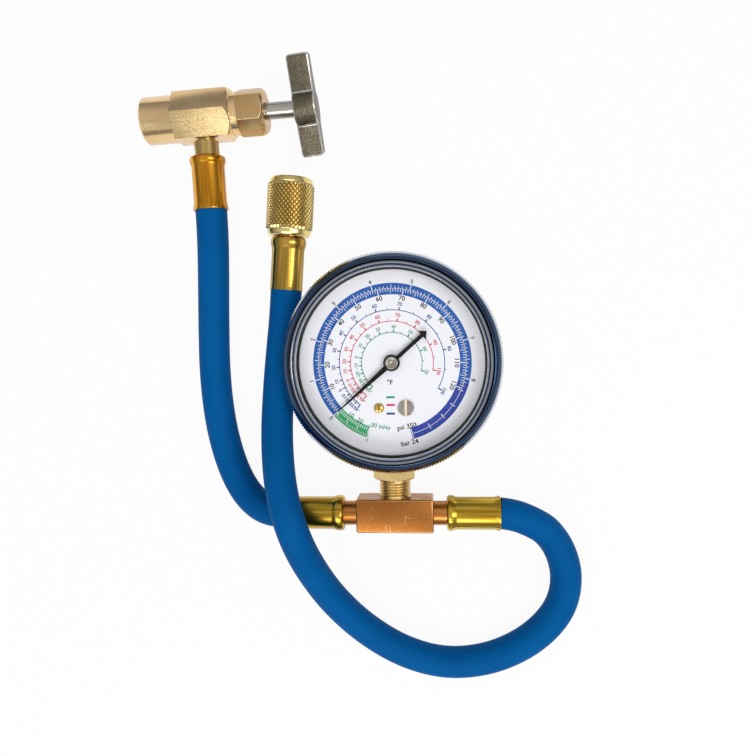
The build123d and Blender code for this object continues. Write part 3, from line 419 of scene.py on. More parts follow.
def ferrule_profile(bead, flare, flare_height):
    """The inside up to the end wall, then the bead by the fitting, the shell and the flare."""
    outside = [
        (ferrule_length, ferrule_radius - 0.0002),
        (ferrule_length - 0.08 * bead, ferrule_radius + 0.00028),
        (ferrule_length - 0.22 * bead, ferrule_radius + 0.00050),
        (ferrule_length - 0.42 * bead, ferrule_radius + 0.00055),
        (ferrule_length - 0.60 * bead, ferrule_radius + 0.00046),
        (ferrule_length - 0.78 * bead, ferrule_radius + 0.00020),
        (ferrule_length - 0.92 * bead, ferrule_radius + 0.00004),
        (ferrule_length - bead, ferrule_radius),
        (flare, ferrule_radius),
        (0.70 * flare, ferrule_radius + 0.12 * flare_height),
        (0.40 * flare, ferrule_radius + 0.50 * flare_height),
        (0.15 * flare, ferrule_radius + 0.92 * flare_height),
        (0.05 * flare, ferrule_radius + flare_height),
        (0, ferrule_radius + 0.80 * flare_height),
    ]
    inside = [(0, squeezed_hose), (hose_stop, squeezed_hose), (hose_stop, nipple_hole),
              (ferrule_length, nipple_hole)]
    return inside + outside


for fitting, place, bead, flare, flare_height, colour, dark in (
    ("valve", outlet_place, 0.0032, 0.0040, 0.00042, (0.80, 0.38, 0.035), (0.42, 0.16, 0.010)),
    ("tee_left", tee_left_place, 0.0042, 0.0024, 0.00045, (0.66, 0.43, 0.055), (0.28, 0.15, 0.012)),
    ("tee_right", tee_right_place, 0.0034, 0.0024, 0.00045, (0.78, 0.52, 0.070), (0.32, 0.18, 0.012)),
    ("coupler", coupler_place, 0.0044, 0.0012, 0.00008, (0.66, 0.42, 0.090), (0.32, 0.18, 0.025)),
):
    shell = turned_piece(ferrule_profile(bead, flare, flare_height), steps=72)
    smooth_where_gentle(shell, 40)
    bmesh.ops.transform(shell, matrix=place, verts=shell.verts)
    ferrule_brass = drawn_metal(fitting + "_ferrule_brass", colour, dark, place)
    finish_piece(fitting + "_crimped_ferrule", shell, [ferrule_brass], "assembly",
                 "bright_brass", fitting + "_ferrule")

# Nipples.
# Turned brass barbs inside the hose. Only their plain necks show between
# the ferrules and the blocks, and the tee's pair is the darker one.


def dress(material, *names):
    """Gives CAD nodes their material."""
    for name in names:
        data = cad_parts[name].data
        data.materials.clear()
        data.materials.append(material)


nipple_brass = drawn_metal("nipple_brass", (0.66, 0.46, 0.18), (0.40, 0.26, 0.08), outlet_place,
                           roughness=0.30, size=900)
dress(nipple_brass, "valve_outlet_nipple", "coupler_nipple")
dark_nipple = drawn_metal("dark_nipple", (0.62, 0.26, 0.07), (0.34, 0.12, 0.02), tee_left_place,
                          roughness=0.28, size=800)
dress(dark_nipple, "tee_left_nipple", "tee_right_nipple")

# Can-tap valve body.
# A brass hexagon bar, turned down to a round threaded socket for the can
# at one end. Two flats are as cast and grainy, and its edges are worn bright.
# The photographed hexagon is smaller than the solid's, so its corners are drawn in.
hexagon_scale = 0.905
hexagon_start = -0.0096
hexagon_end = 0.0104
turned_limit = 0.00795
along_flat = 0.985
sharp_angle = 28
gentle_angle = 32


def grainy_metal(name, colour, dark, speck, grain, bump, roughness):
    """Cast or sawn metal, with dark specks and a sparkle from its rough grain."""
    material = surface(name, colour, dark, roughness, stain=0.4, change=0.35,
                       grain=grain, blotch=130, bump=bump)
    nodes = material.node_tree.nodes
    links = material.node_tree.links
    shader = nodes["Principled BSDF"]
    base = shader.inputs["Base Color"].links[0].from_socket
    coordinates = nodes.new("ShaderNodeTexCoord")
    specks = nodes.new("ShaderNodeTexNoise")
    specks.inputs["Scale"].default_value = grain
    specks.inputs["Detail"].default_value = 1
    chosen = nodes.new("ShaderNodeMapRange")
    chosen.inputs["From Min"].default_value = 0.56
    chosen.inputs["From Max"].default_value = 0.66
    chosen.inputs["To Max"].default_value = speck
    darker = nodes.new("ShaderNodeMixRGB")
    darker.inputs["Color2"].default_value = (*[0.35 * part for part in dark], 1)
    links.new(coordinates.outputs["Object"], specks.inputs["Vector"])
    links.new(specks.outputs["Fac"], chosen.inputs["Value"])
    links.new(chosen.outputs["Result"], darker.inputs["Fac"])
    links.new(base, darker.inputs["Color1"])
    links.new(darker.outputs["Color"], shader.inputs["Base Color"])
    return material


def merged_copy(node):
    """The CAD node's mesh, with its loose triangles joined into whole faces."""
    mesh = bmesh.new()
    mesh.from_mesh(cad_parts[node].data)
    bmesh.ops.remove_doubles(mesh, verts=mesh.verts, dist=2e-6)
    bmesh.ops.dissolve_limit(mesh, angle_limit=radians(1), verts=mesh.verts, edges=mesh.edges)
    return mesh


def wear_edges(mesh, width):
    """Rounds the sharp edges a little and gives that strip the piece's second material."""
    edges = [
        edge for edge in mesh.edges
        if len(edge.link_faces) == 2 and edge.calc_face_angle(0) > radians(sharp_angle)
    ]
    strip = bmesh.ops.bevel(mesh, geom=edges, offset=width, offset_type="OFFSET", segments=2,
                            profile=0.5, affect="EDGES", clamp_overlap=True, material=-1)
    for face in strip["faces"]:
        face.material_index = 1
    smooth_where_gentle(mesh, gentle_angle)


body_mesh = merged_copy("valve_body")
bmesh.ops.transform(body_mesh, matrix=valve_place.inverted(), verts=body_mesh.verts)
for corner in body_mesh.verts:
    radius = hypot(corner.co.y, corner.co.z)
    if hexagon_start < corner.co.x < hexagon_end and radius > turned_limit:
        corner.co.y *= hexagon_scale
        corner.co.z *= hexagon_scale
bmesh.ops.transform(body_mesh, matrix=valve_place, verts=body_mesh.verts)
wear_edges(body_mesh, 0.00016)
cast_flat = Vector((0.02, -0.50, 0.866))
for face in body_mesh.faces:
    if face.material_index == 0 and abs(face.normal.dot(cast_flat)) > along_flat:
        face.material_index = 2
body_brass = surface("body_brass", (0.84, 0.59, 0.31), (0.70, 0.46, 0.21),
                     roughness=0.20, change=0.2, grain=1500, blotch=140, bump=0.02)
worn_brass = surface("worn_brass", (0.88, 0.70, 0.42), (0.74, 0.55, 0.26),
                     roughness=0.22, bump=0.04)
cast_brass = grainy_metal("cast_brass", (0.74, 0.55, 0.28), (0.48, 0.33, 0.13),
                          speck=0.70, grain=3600, bump=0.50, roughness=0.38)
finish_piece("tap_body", body_mesh, [body_brass, worn_brass, cast_brass], "assembly",
             "satin_brass", "valve_body")

# Thread in the can socket.
# The half inch thread that takes the can's neck is cut in the wall of the socket.


def thread_on(name, pitch, start, end, root, crest, place, material, slot, body):
    """A helical thread ridge from start to end along X, standing from root to crest."""
    turns = (end - start) / pitch
    steps = int(turns * 40)
    half = pitch * 0.46
    mesh = bmesh.new()
    ridge = [
        mesh.verts.new((start - half, 0, root)),
        mesh.verts.new((start, 0, crest)),
        mesh.verts.new((start + half, 0, root)),
    ]
    sides = [mesh.edges.new((ridge[0], ridge[1])), mesh.edges.new((ridge[1], ridge[2]))]
    bmesh.ops.spin(mesh, geom=ridge + sides, cent=(0, 0, 0), axis=(1, 0, 0),
                   angle=2 * pi * turns, steps=steps, dvec=((end - start) / steps, 0, 0))
    bmesh.ops.recalc_face_normals(mesh, faces=mesh.faces)
    smooth_where_gentle(mesh, 35)
    bmesh.ops.transform(mesh, matrix=place, verts=mesh.verts)
    finish_piece(name, mesh, [material], body, slot)


thread_on("can_socket_thread", 0.00127, -0.0199, -0.0145, 0.00638, 0.0060,
          valve_place, worn_brass, "satin_brass", "assembly")

# Packing nut.
# A smaller hexagon screwed over the spindle's packing, with chamfered corners.
gland_mesh = merged_copy("packing_nut")
wear_edges(gland_mesh, 0.00015)
gland_brass = grainy_metal("gland_brass", (0.62, 0.40, 0.18), (0.48, 0.29, 0.10),
                           speck=0.15, grain=2600, bump=0.06, roughness=0.28)
finish_piece("gland_nut", gland_mesh, [gland_brass, worn_brass], "assembly",
             "satin_brass", "packing_nut")

# Spindle, needle and seals.
# A ground steel spindle with a hardened point, and black rubber seals.
spindle_steel = drawn_metal("spindle_steel", (0.60, 0.58, 0.52), (0.30, 0.28, 0.24), valve_place,
                            roughness=0.18, size=500)
steel = surface("steel", (0.56, 0.55, 0.52), (0.40, 0.38, 0.34),
                roughness=0.24, blotch=150, bump=0.04)
black_rubber = surface("black_rubber", (0.02, 0.02, 0.02), (0.04, 0.04, 0.04),
                       roughness=0.6, metallic=0)
dress(spindle_steel, "tap_spindle")
dress(steel, "piercing_needle", "packing_washer")
dress(black_rubber, "can_gasket", "packing_ring", "coupler_gasket")

# Wing handle.
# Die-cast zinc, pressed on the spindle: dull pitted faces with a skin
# of brown oxide, and edges that fingers have worn bright.
# In the photograph its wings are shorter than the solid's and its hub a little fuller,
# and it sits slightly askew on the spindle.
wing_scale = 0.905
wing_shift = 0.0007
hub_scale = 1.09
handle_roll = 20
wing_middle = Vector((0.0349, 0, 0))
wing_lean = 3.2
handle_hub_reach = 0.0060
hub_inside = 0.0050
handle_mesh = merged_copy("tap_handle")
handle_place = valve_place @ Matrix.Rotation(radians(handle_roll), 4, "X")
bmesh.ops.transform(handle_mesh, matrix=handle_place.inverted(), verts=handle_mesh.verts)
for corner in handle_mesh.verts:
    if abs(corner.co.y) > handle_hub_reach:
        corner.co.y = wing_scale * corner.co.y + wing_shift
    elif hypot(corner.co.y, corner.co.z) > hub_inside:
        corner.co.y *= hub_scale
        corner.co.z *= hub_scale
bmesh.ops.rotate(handle_mesh, verts=handle_mesh.verts, cent=wing_middle,
                 matrix=Matrix.Rotation(radians(wing_lean), 3, "Z"))
bmesh.ops.transform(handle_mesh, matrix=handle_place, verts=handle_mesh.verts)
wear_edges(handle_mesh, 0.00045)
cast_zinc = grainy_metal("cast_zinc", (0.20, 0.175, 0.122), (0.085, 0.070, 0.048),
                         speck=0.75, grain=2900, bump=0.80, roughness=0.38)
worn_zinc = surface("worn_zinc", (0.58, 0.57, 0.54), (0.40, 0.38, 0.35), roughness=0.24, stain=0.6)
finish_piece("wing_handle", handle_mesh, [cast_zinc, worn_zinc], "tap",
             "die_cast_zinc", "tap_handle")

# Coupler nut.
# A brass swivel nut with a coarse diamond knurl between a plain back band
# and a tapered front rim. Use has worn the points flat and bright, and a darker
# brass on the sloped faces is painted shade in the valleys.
nut_start = 0.0185
nut_end = 0.0383
nut_radius = 0.0080
knurl_start = nut_start + 0.0022
knurl_end = nut_end - 0.0019
knurl_rows = 18
knurl_points = 34
knurl_depth = 0.00055
point_height = 0.00112
point_flat = 0.00066
inside_limit = 0.0070
valley_limit = nut_radius - 0.0004
nut_profile = [
    (nut_start, 0.00428),
    (nut_start, 0.0067),
    (nut_start + 0.0003, 0.0071),
    (nut_start + 0.0008, 0.00735),
    (knurl_start - 0.0003, 0.0075),
    (knurl_start - 0.0001, 0.0074),
]
for row in range(knurl_rows + 1):
    station = knurl_start + (knurl_end - knurl_start) * row / knurl_rows
    nut_profile.append((station, nut_radius - knurl_depth))
nut_profile += [
    (knurl_end + 0.0002, 0.00755),
    (nut_end - 0.0010, 0.0074),
    (nut_end - 0.0003, 0.0071),
    (nut_end, 0.0068),
    (nut_end, 0.0058),
    (nut_end - 0.0003, 0.005555),
    (nut_end - 0.0070, 0.005555),
    (nut_end - 0.0070, 0.00595),
    (nut_start + 0.0025, 0.00595),
    (nut_start + 0.0025, 0.00428),
]
nut = turned_piece(nut_profile, 2 * knurl_points)
row_height = (knurl_end - knurl_start) / knurl_rows
for corner in nut.verts:
    radius = hypot(corner.co.y, corner.co.z)
    if not knurl_start - 1e-6 < corner.co.x < knurl_end + 1e-6 or radius < inside_limit:
        continue
    row = round((corner.co.x - knurl_start) / row_height)
    column = round(atan2(corner.co.y, corner.co.z) / (pi / knurl_points))
    if (row + column) % 2 and 0 < row < knurl_rows:
        point_radius = nut_radius - knurl_depth + point_height
        corner.co.y *= point_radius / radius
        corner.co.z *= point_radius / radius
knurled = []
for face in nut.faces:
    centre = face.calc_center_median()
    if knurl_start < centre.x < knurl_end and hypot(centre.y, centre.z) > inside_limit:
        knurled.append(face)
# The knurl's sloped faces take the darker brass, which is painted shade in the valleys.
for face in knurled:
    face.material_index = 1
    low = [corner for corner in face.verts if hypot(corner.co.y, corner.co.z) < valley_limit]
    if len(low) == 2:
        bmesh.utils.face_split(face, low[0], low[1])
points = [corner for corner in nut.verts if hypot(corner.co.y, corner.co.z) > nut_radius]
bmesh.ops.bevel(nut, geom=points, offset=point_flat, offset_type="OFFSET", segments=1,
                affect="VERTICES", clamp_overlap=True, material=0)
smooth_where_gentle(nut, 12)
bmesh.ops.transform(nut, matrix=coupler_place, verts=nut.verts)
nut_brass = surface("nut_brass", (0.88, 0.68, 0.28), (0.70, 0.50, 0.16),
                    roughness=0.22, change=0.2, blotch=150, bump=0.05)
# Painted shade for the knurl's valleys.
valley_painted_shade = surface("valley_painted_shade", (0.70, 0.56, 0.26), (0.50, 0.38, 0.14),
                       roughness=0.28, change=0.2, blotch=150, bump=0.05)
finish_piece("knurled_nut", nut, [nut_brass, valley_painted_shade], "swivel_nut", "bright_brass",
             "coupler_nut")
thread_on("coupler_thread", 0.00127, nut_end - 0.0063, nut_end - 0.0008, 0.00558, 0.0052,
          coupler_place, nut_brass, "bright_brass", "swivel_nut")
dress(nut_brass, "core_depressor")

# Tee.
# A drawn brass block, brown with age and drilled through, scratched by wrenches.
# The gauge's stem screws into its top face and a nipple is pressed in each end.
# The block is stretched to the photograph's length and depth, and its bores stay.
tee_stretch = 1.035
tee_underside = -0.0590
tee_deeper = 0.0004
tee_bore_y = -0.0525
tee_bore_z = 0.010
tee_bore_reach = 0.0062
tee_mesh = merged_copy("tee_block")
for corner in tee_mesh.verts:
    if hypot(corner.co.y - tee_bore_y, corner.co.z - tee_bore_z) > tee_bore_reach:
        corner.co.x *= tee_stretch
        if corner.co.y < tee_underside:
            corner.co.y -= tee_deeper
wear_edges(tee_mesh, 0.00018)
tee_brass = grainy_metal("tee_brass", (0.39, 0.148, 0.036), (0.29, 0.100, 0.018),
                         speck=0.12, grain=2400, bump=0.08, roughness=0.32)


def add_scratches(material, bright):
    """Thin bright lines here and there, where the brown skin is scratched through."""
    nodes = material.node_tree.nodes
    links = material.node_tree.links
    shader = nodes["Principled BSDF"]
    base = shader.inputs["Base Color"].links[0].from_socket
    coordinates = nodes.new("ShaderNodeTexCoord")
    line = nodes.new("ShaderNodeTexNoise")
    line.inputs["Scale"].default_value = 130
    line.inputs["Detail"].default_value = 1
    line.inputs["Distortion"].default_value = 0.2
    near = nodes.new("ShaderNodeMath")
    near.operation = "COMPARE"
    near.inputs[1].default_value = 0.5
    near.inputs[2].default_value = 0.0009
    where = nodes.new("ShaderNodeTexNoise")
    where.inputs["Scale"].default_value = 210
    where.inputs["Detail"].default_value = 2
    here = nodes.new("ShaderNodeMath")
    here.operation = "GREATER_THAN"
    here.inputs[1].default_value = 0.56
    both = nodes.new("ShaderNodeMath")
    both.operation = "MULTIPLY"
    scratched = nodes.new("ShaderNodeMixRGB")
    scratched.inputs["Color2"].default_value = (*bright, 1)
    links.new(coordinates.outputs["Object"], line.inputs["Vector"])
    links.new(coordinates.outputs["Object"], where.inputs["Vector"])
    links.new(line.outputs["Fac"], near.inputs[0])
    links.new(where.outputs["Fac"], here.inputs[0])
    links.new(near.outputs["Value"], both.inputs[0])
    links.new(here.outputs["Value"], both.inputs[1])
    links.new(both.outputs["Value"], scratched.inputs["Fac"])
    links.new(base, scratched.inputs["Color1"])
    links.new(scratched.outputs["Color"], shader.inputs["Base Color"])


add_scratches(tee_brass, (0.95, 0.72, 0.42))
worn_tee = surface("worn_tee", (0.86, 0.50, 0.20), (0.66, 0.30, 0.08),
                   roughness=0.24, stain=0.6, bump=0.05)
finish_piece("tee_fitting", tee_mesh, [tee_brass, worn_tee], "assembly",
             "aged_brass", "tee_block")

# Gauge stem.
# One piece of brass: a square for the wrench, a pipe thread below it,
# and a block inside the case that carries the works.
stem_brass = grainy_metal("stem_brass", (0.74, 0.54, 0.24), (0.56, 0.38, 0.13),
                          speck=0.35, grain=1700, bump=0.18, roughness=0.32)
dress(stem_brass, "gauge_socket")
stem_place = place_on(0, 0, 0.010, -90)
thread_on("stem_thread", 0.00094, 0.0409, 0.0464, 0.0049, 0.00545,
          stem_place, stem_brass, "satin_brass", "assembly")

# Gauge case.
# A chromed drawn steel cup, held to the inner block by two countersunk screws.
chrome = surface("chrome", (0.60, 0.62, 0.66), (0.48, 0.50, 0.55),
                 roughness=0.12, stain=0.4, change=0.08, grain=500, blotch=60, bump=0.01)
dress(chrome, "gauge_case")
dress(steel, "case_screws")

# Bezel.
# A chromed ring pressed over the case: a beaded edge to grip, a rounded shoulder,
# and two bright lips with a groove between them next to the lens. The shoulder,
# the groove and the crease outside the outer lip are coloured with a painted dark reflection.
bead_count = 230
bead_radius = 0.0368
valley_radius = 0.0364
shoulder_outer = 0.0360
shoulder_inner = 0.0338
shoulder_low = 0.0210
crease_inner = 0.0333
crease_low = 0.0228
lip_gap_outer = 0.0322
lip_gap_inner = 0.0318
lip_gap_low = 0.0245
# Painted dark reflections: navy on the shoulder and in the lip groove, near black in the crease.
painted_reflection_chrome = surface("painted_reflection_chrome", (0.045, 0.075, 0.140), (0.085, 0.120, 0.200),
                      roughness=0.22, change=0.1, grain=500, blotch=35, bump=0.01)
crease_painted_reflection = surface("crease_painted_reflection", (0.02, 0.022, 0.03), (0.04, 0.045, 0.06), roughness=0.4)
bezel_profile = [
    (0.0330, 0.0170),
    (0.0362, 0.0170),
    (bead_radius, 0.0174),
    (bead_radius, 0.0206),
    (0.0362, 0.0211),
    (0.0359, 0.0216),
    (0.0355, 0.0221),
    (0.0350, 0.02265),
    (0.0345, 0.0231),
    (0.0341, 0.0234),
    (0.0338, 0.0235),
    (0.0336, 0.0230),
    (0.0334, 0.0233),
    (0.0332, 0.0247),
    (0.0329, 0.0256),
    (0.0325, 0.0259),
    (0.0322, 0.0257),
    (0.0320, 0.0252),
    (0.0318, 0.0252),
    (0.0316, 0.0256),
    (0.0314, 0.0257),
    (0.0312, 0.0255),
    (0.0311, 0.0251),
    (0.0311, 0.0240),
    (0.0327, 0.0240),
    (0.0327, 0.0208),
    (0.0330, 0.0208),
]
ring = turned_piece([(height, radius) for radius, height in bezel_profile], 2 * bead_count)
bmesh.ops.transform(ring, matrix=Matrix.Rotation(radians(-90), 4, "Y"), verts=ring.verts)
for corner in ring.verts:
    radius = hypot(corner.co.x, corner.co.y)
    bead = round(atan2(corner.co.y, corner.co.x) / (pi / bead_count))
    if radius > valley_radius and bead % 2:
        corner.co.x *= valley_radius / radius
        corner.co.y *= valley_radius / radius
# The shoulder and the lip groove take the navy painted reflection, and the crease takes the black one.
for face in ring.faces:
    centre = face.calc_center_median()
    radius = hypot(centre.x, centre.y)
    if shoulder_inner < radius < shoulder_outer and centre.z > shoulder_low:
        face.material_index = 1
    elif crease_inner < radius < shoulder_inner and centre.z > crease_low:
        face.material_index = 2
    elif lip_gap_inner < radius < lip_gap_outer and centre.z > lip_gap_low:
        face.material_index = 1
smooth_where_gentle(ring, 34)
finish_piece("chromed_bezel", ring, [chrome, painted_reflection_chrome, crease_painted_reflection], "assembly",
             "chrome", "bezel")

# Lens and its gasket.
# A flat disc of clear glass on a black rubber ring, under the bezel's inner lip.
# All but about one part in a hundred of it is clear, and that part is a faint mirror.
lens_cover = 0.012
lens_glass = bpy.data.materials.new("lens_glass")
lens_glass.use_nodes = True
lens_nodes = lens_glass.node_tree.nodes
lens_links = lens_glass.node_tree.links
lens_shader = lens_nodes["Principled BSDF"]
lens_shader.inputs["Base Color"].default_value = (0.96, 0.97, 0.98, 1)
lens_shader.inputs["Metallic"].default_value = 1
lens_shader.inputs["Alpha"].default_value = lens_cover
lens_place = lens_nodes.new("ShaderNodeTexCoord")
lens_haze = lens_nodes.new("ShaderNodeTexNoise")
lens_haze.inputs["Scale"].default_value = 60
lens_range = lens_nodes.new("ShaderNodeMapRange")
lens_range.inputs["To Min"].default_value = 0.02
lens_range.inputs["To Max"].default_value = 0.08
lens_links.new(lens_place.outputs["Object"], lens_haze.inputs["Vector"])
lens_links.new(lens_haze.outputs["Fac"], lens_range.inputs["Value"])
lens_links.new(lens_range.outputs["Result"], lens_shader.inputs["Roughness"])
dress(lens_glass, "lens")
dress(black_rubber, "lens_gasket")

# Works of the gauge.
# A Bourdon tube pulls a link, which turns a toothed sector and the pointer's pinion
# between two brass plates. The pins, the screws and the hairspring are steel.
works_brass = surface("works_brass", (0.66, 0.48, 0.20), (0.50, 0.34, 0.12),
                      roughness=0.28, stain=0.4)
dress(works_brass, "bourdon_tube", "bourdon_tip", "link", "sector_gear", "pinion_arbor",
      "movement_lower_plate", "movement_upper_plate", "movement_pillars", "dial_posts",
      "hairspring_stud")
dress(steel, "tip_pin", "tail_pin", "sector_arbor", "hairspring", "movement_screws")

# Dial.
# A flat enamelled plate, printed with rings, scales and plain numbers:
# pressure on the blue band, suction on the green one, temperatures on three arcs.
dial_white = surface("dial_white", (0.80, 0.805, 0.84), (0.78, 0.785, 0.82),
                     roughness=0.5, metallic=0, change=0.05, grain=300, blotch=30, bump=0.0, gloss=0.3)
# A weak glow stands in for light that the deep rim keeps off the edge of the dial here.
dial_shader = dial_white.node_tree.nodes["Principled BSDF"]
dial_shader.inputs["Emission Color"].default_value = (0.90, 0.90, 0.94, 1)
dial_shader.inputs["Emission Strength"].default_value = 0.14
dress(dial_white, "dial_plate")
dial_top = 0.0185
first_coat = dial_top + 0.00003
second_coat = dial_top + 0.00006
band_inner = 0.0226
band_outer = 0.0264
band_middle = 0.0246
zero_angle = 221.6
green_end = 250.6
retard_start = -16.5
retard_end = -75.4
degrees_per_psi = 2.02
degrees_per_bar = 29.3
degrees_per_suction_mark = 1.85
wide_mark = 0.00032
fine_mark = 0.00022
letter_weight = 0.020


def ink(name, colour):
    thin = tuple(0.85 * part for part in colour)
    return surface(name, colour, thin, roughness=0.5, stain=0.4, metallic=0, bump=0.0, gloss=0.2)


band_blue = ink("band_blue", (0.016, 0.115, 0.45))
deep_blue = ink("deep_blue", (0.020, 0.055, 0.38))
scale_blue = ink("scale_blue", (0.020, 0.060, 0.30))
band_green = ink("band_green", (0.010, 0.40, 0.13))
scale_green = ink("scale_green", (0.020, 0.34, 0.16))
scale_red = ink("scale_red", (0.70, 0.045, 0.09))
print_white = ink("print_white", (0.84, 0.86, 0.90))
print_black = ink("print_black", (0.030, 0.030, 0.035))


def polar(radius, angle, height):
    return (radius * cos(radians(angle)), radius * sin(radians(angle)), height)


def print_arc(mesh, inner, outer, first, last, height):
    """A flat band between two radii, from one angle to another."""
    ends = [mesh.verts.new(polar(inner, first, height)), mesh.verts.new(polar(outer, first, height))]
    side = mesh.edges.new(ends)
    bmesh.ops.spin(mesh, geom=ends + [side], cent=(0, 0, 0), axis=(0, 0, 1),
                   angle=radians(last - first), steps=max(1, int(abs(last - first) / 1.5)))


def print_tick(mesh, inner, outer, angle, width, height):
    """A short line that points away from the centre."""
    turn = Matrix.Rotation(radians(angle), 3, "Z")
    half = width / 2
    corners = []
    for radius, side in ((inner, -half), (outer, -half), (outer, half), (inner, half)):
        corners.append(mesh.verts.new(turn @ Vector((radius, side, height))))
    mesh.faces.new(corners)


def print_words(mesh, words, size, x, y, turn, height):
    """Plain lettering, centred on a spot and turned."""
    text = bpy.data.curves.new("words", "FONT")
    text.body = words
    text.size = size
    text.offset = size * letter_weight
    text.align_x = "CENTER"
    text.align_y = "CENTER"
    text.resolution_u = 3
    letters = bpy.data.objects.new("words", text)
    flat = bpy.data.meshes.new_from_object(letters)
    flat.transform(Matrix.Translation((x, y, height)) @ Matrix.Rotation(radians(turn), 4, "Z"))
    mesh.from_mesh(flat)
    bpy.data.objects.remove(letters)
    bpy.data.curves.remove(text)
    bpy.data.meshes.remove(flat)


def print_number(mesh, words, size, radius, angle, height):
    """A number on a ring, with its top away from the centre."""
    x, y, _ = polar(radius, angle, 0)
    print_words(mesh, words, size, x, y, angle - 90, height)


def finish_print(name, mesh, material):
    for face in mesh.faces:
        face.normal_update()
        if face.normal.z < 0:
            face.normal_flip()
    finish_piece(name, mesh, [material], "assembly", "printed_dial")


for band_name, band_ink, band_start, band_end in (
    ("blue", band_blue, zero_angle, retard_start),
    ("retard", deep_blue, retard_start, retard_end),
    ("green", band_green, zero_angle, green_end),
):
    band = bmesh.new()
    print_arc(band, band_inner, band_outer, band_start, band_end, first_coat)
    finish_print("printed_" + band_name + "_band", band, band_ink)

white_marks = bmesh.new()
print_arc(white_marks, band_middle - 0.00008, band_middle + 0.00008, zero_angle, -75.0, second_coat)
for psi in range(0, 121):
    reach = 0.0019 if psi % 10 == 0 else 0.0015 if psi % 5 == 0 else 0.0010
    width = wide_mark if psi % 10 == 0 else fine_mark
    angle = zero_angle - degrees_per_psi * psi
    print_tick(white_marks, band_middle - reach, band_middle, angle, width, second_coat)
for tenth in range(0, 83):
    reach = 0.0017 if tenth % 10 == 0 else 0.0012 if tenth % 5 == 0 else 0.0007
    width = wide_mark if tenth % 10 == 0 else fine_mark
    angle = zero_angle - degrees_per_bar * tenth / 10
    print_tick(white_marks, band_middle, band_middle + reach, angle, width, second_coat)
for angle in (-22.5, -35.5, -47.0, -60.0):
    print_tick(white_marks, band_middle - 0.0010, band_middle + 0.0008, angle, 0.00025, second_coat)
print_tick(white_marks, band_middle - 0.0017, band_middle + 0.0016, -74.6, 0.00028, second_coat)
for mark in range(0, 16):
    angle = zero_angle + degrees_per_suction_mark * mark + 0.8
    reach = 0.0024 if mark % 5 == 0 else 0.0016
    print_tick(white_marks, band_inner + 0.0004, band_inner + reach, angle, 0.00028, second_coat)
    print_tick(white_marks, band_outer - reach * 0.7, band_outer - 0.0004, angle + 0.9,
               0.00024, second_coat)
finish_print("printed_white_marks", white_marks, print_white)

numbers = bmesh.new()
for psi in range(10, 130, 10):
    print_number(numbers, str(psi), 0.0022, 0.0215, zero_angle - degrees_per_psi * psi, first_coat)
for bar in range(0, 9):
    print_number(numbers, str(bar), 0.0019, 0.0275, zero_angle - degrees_per_bar * bar, first_coat)
for words, x, y, turn in (
    ("psi 350", 0.0047, -0.0214, 11), ("bar 24", 0.0056, -0.0268, 11), ("°F", -0.0008, -0.0066, -4),
):
    print_words(numbers, words, 0.0023, x, y, turn, first_coat)
finish_print("printed_numbers", numbers, print_black)

suction_numbers = bmesh.new()
for words, size, x, y, turn in (
    ("10", 0.0021, -0.0139, -0.0173, -37), ("20", 0.0021, -0.0109, -0.0194, -28),
    ("-30 inHg", 0.0021, -0.0044, -0.0213, -11), ("-1", 0.0016, -0.0089, -0.0258, -19),
):
    print_words(suction_numbers, words, size, x, y, turn, first_coat)
finish_print("printed_suction_numbers", suction_numbers, scale_green)


def temperature_scale(name, material, radius, number_radius, size, marks):
    """An arc with a tick and a number at each mark, and a short tick half way between."""
    mesh = bmesh.new()
    first = marks[0][1]
    last = marks[-1][1]
    print_arc(mesh, radius - 0.00013, radius + 0.00013, first, last, first_coat)
    for number, (value, angle) in enumerate(marks):
        reach = 0.0013 if angle in (first, last) else 0.0010
        print_tick(mesh, radius, radius + reach, angle, 0.00042, first_coat)
        print_number(mesh, str(value), size, number_radius, angle, first_coat)
        if angle != last:
            middle = (angle + marks[number + 1][1]) / 2
            print_tick(mesh, radius, radius + 0.0007, middle, 0.00020, first_coat)
    finish_print(name, mesh, material)


temperature_scale("printed_blue_scale", scale_blue, 0.01755, 0.0195, 0.0017, [
    (-40, 232.2), (-30, 227.0), (-20, 221.8), (-10, 215.4), (0, 207.4), (10, 198.5), (20, 184.3),
    (30, 167.0), (40, 148.9), (50, 129.7), (60, 106.4), (70, 81.5), (80, 49.9), (90, 13.2),
    (100, -29.4),
])
temperature_scale("printed_red_scale", scale_red, 0.0138, 0.0158, 0.0017, [
    (-40, 231.5), (-30, 224.0), (-20, 216.2), (-10, 209.5), (0, 201.1), (10, 190.0), (20, 177.9),
    (30, 163.0), (40, 146.8), (50, 127.6), (60, 106.6), (70, 82.0), (80, 56.4), (90, 24.4),
    (100, -10.8),
])
temperature_scale("printed_green_scale", scale_green, 0.0101, 0.0119, 0.0016, [
    (-50, 230.0), (-40, 221.0), (-30, 211.0), (-20, 199.0), (-10, 185.0), (0, 170.6), (10, 151.2),
    (20, 131.7), (30, 111.9), (40, 86.1), (50, 57.6), (60, 21.8), (70, -15.6),
])

for key_name, key_ink, key_y in (
    ("green", scale_green, -0.0115),
    ("red", scale_red, -0.0141),
    ("blue", scale_blue, -0.0170),
):
    dash = bmesh.new()
    print_tick(dash, -0.0020, 0.0008, 0, 0.0007, first_coat)
    bmesh.ops.translate(dash, verts=dash.verts, vec=(0, key_y, 0))
    finish_print("printed_key_" + key_name, dash, key_ink)

# Pointer and its cap.
# A black painted pointer, and a turned steel cap over the arbor's end
# with a raised rim and a centre dimple from the lathe.
pointer_black = surface("pointer_black", (0.002, 0.002, 0.003), (0.004, 0.004, 0.005),
                        roughness=0.60, metallic=0, bump=0.0, gloss=0.05)
dress(pointer_black, "pointer")


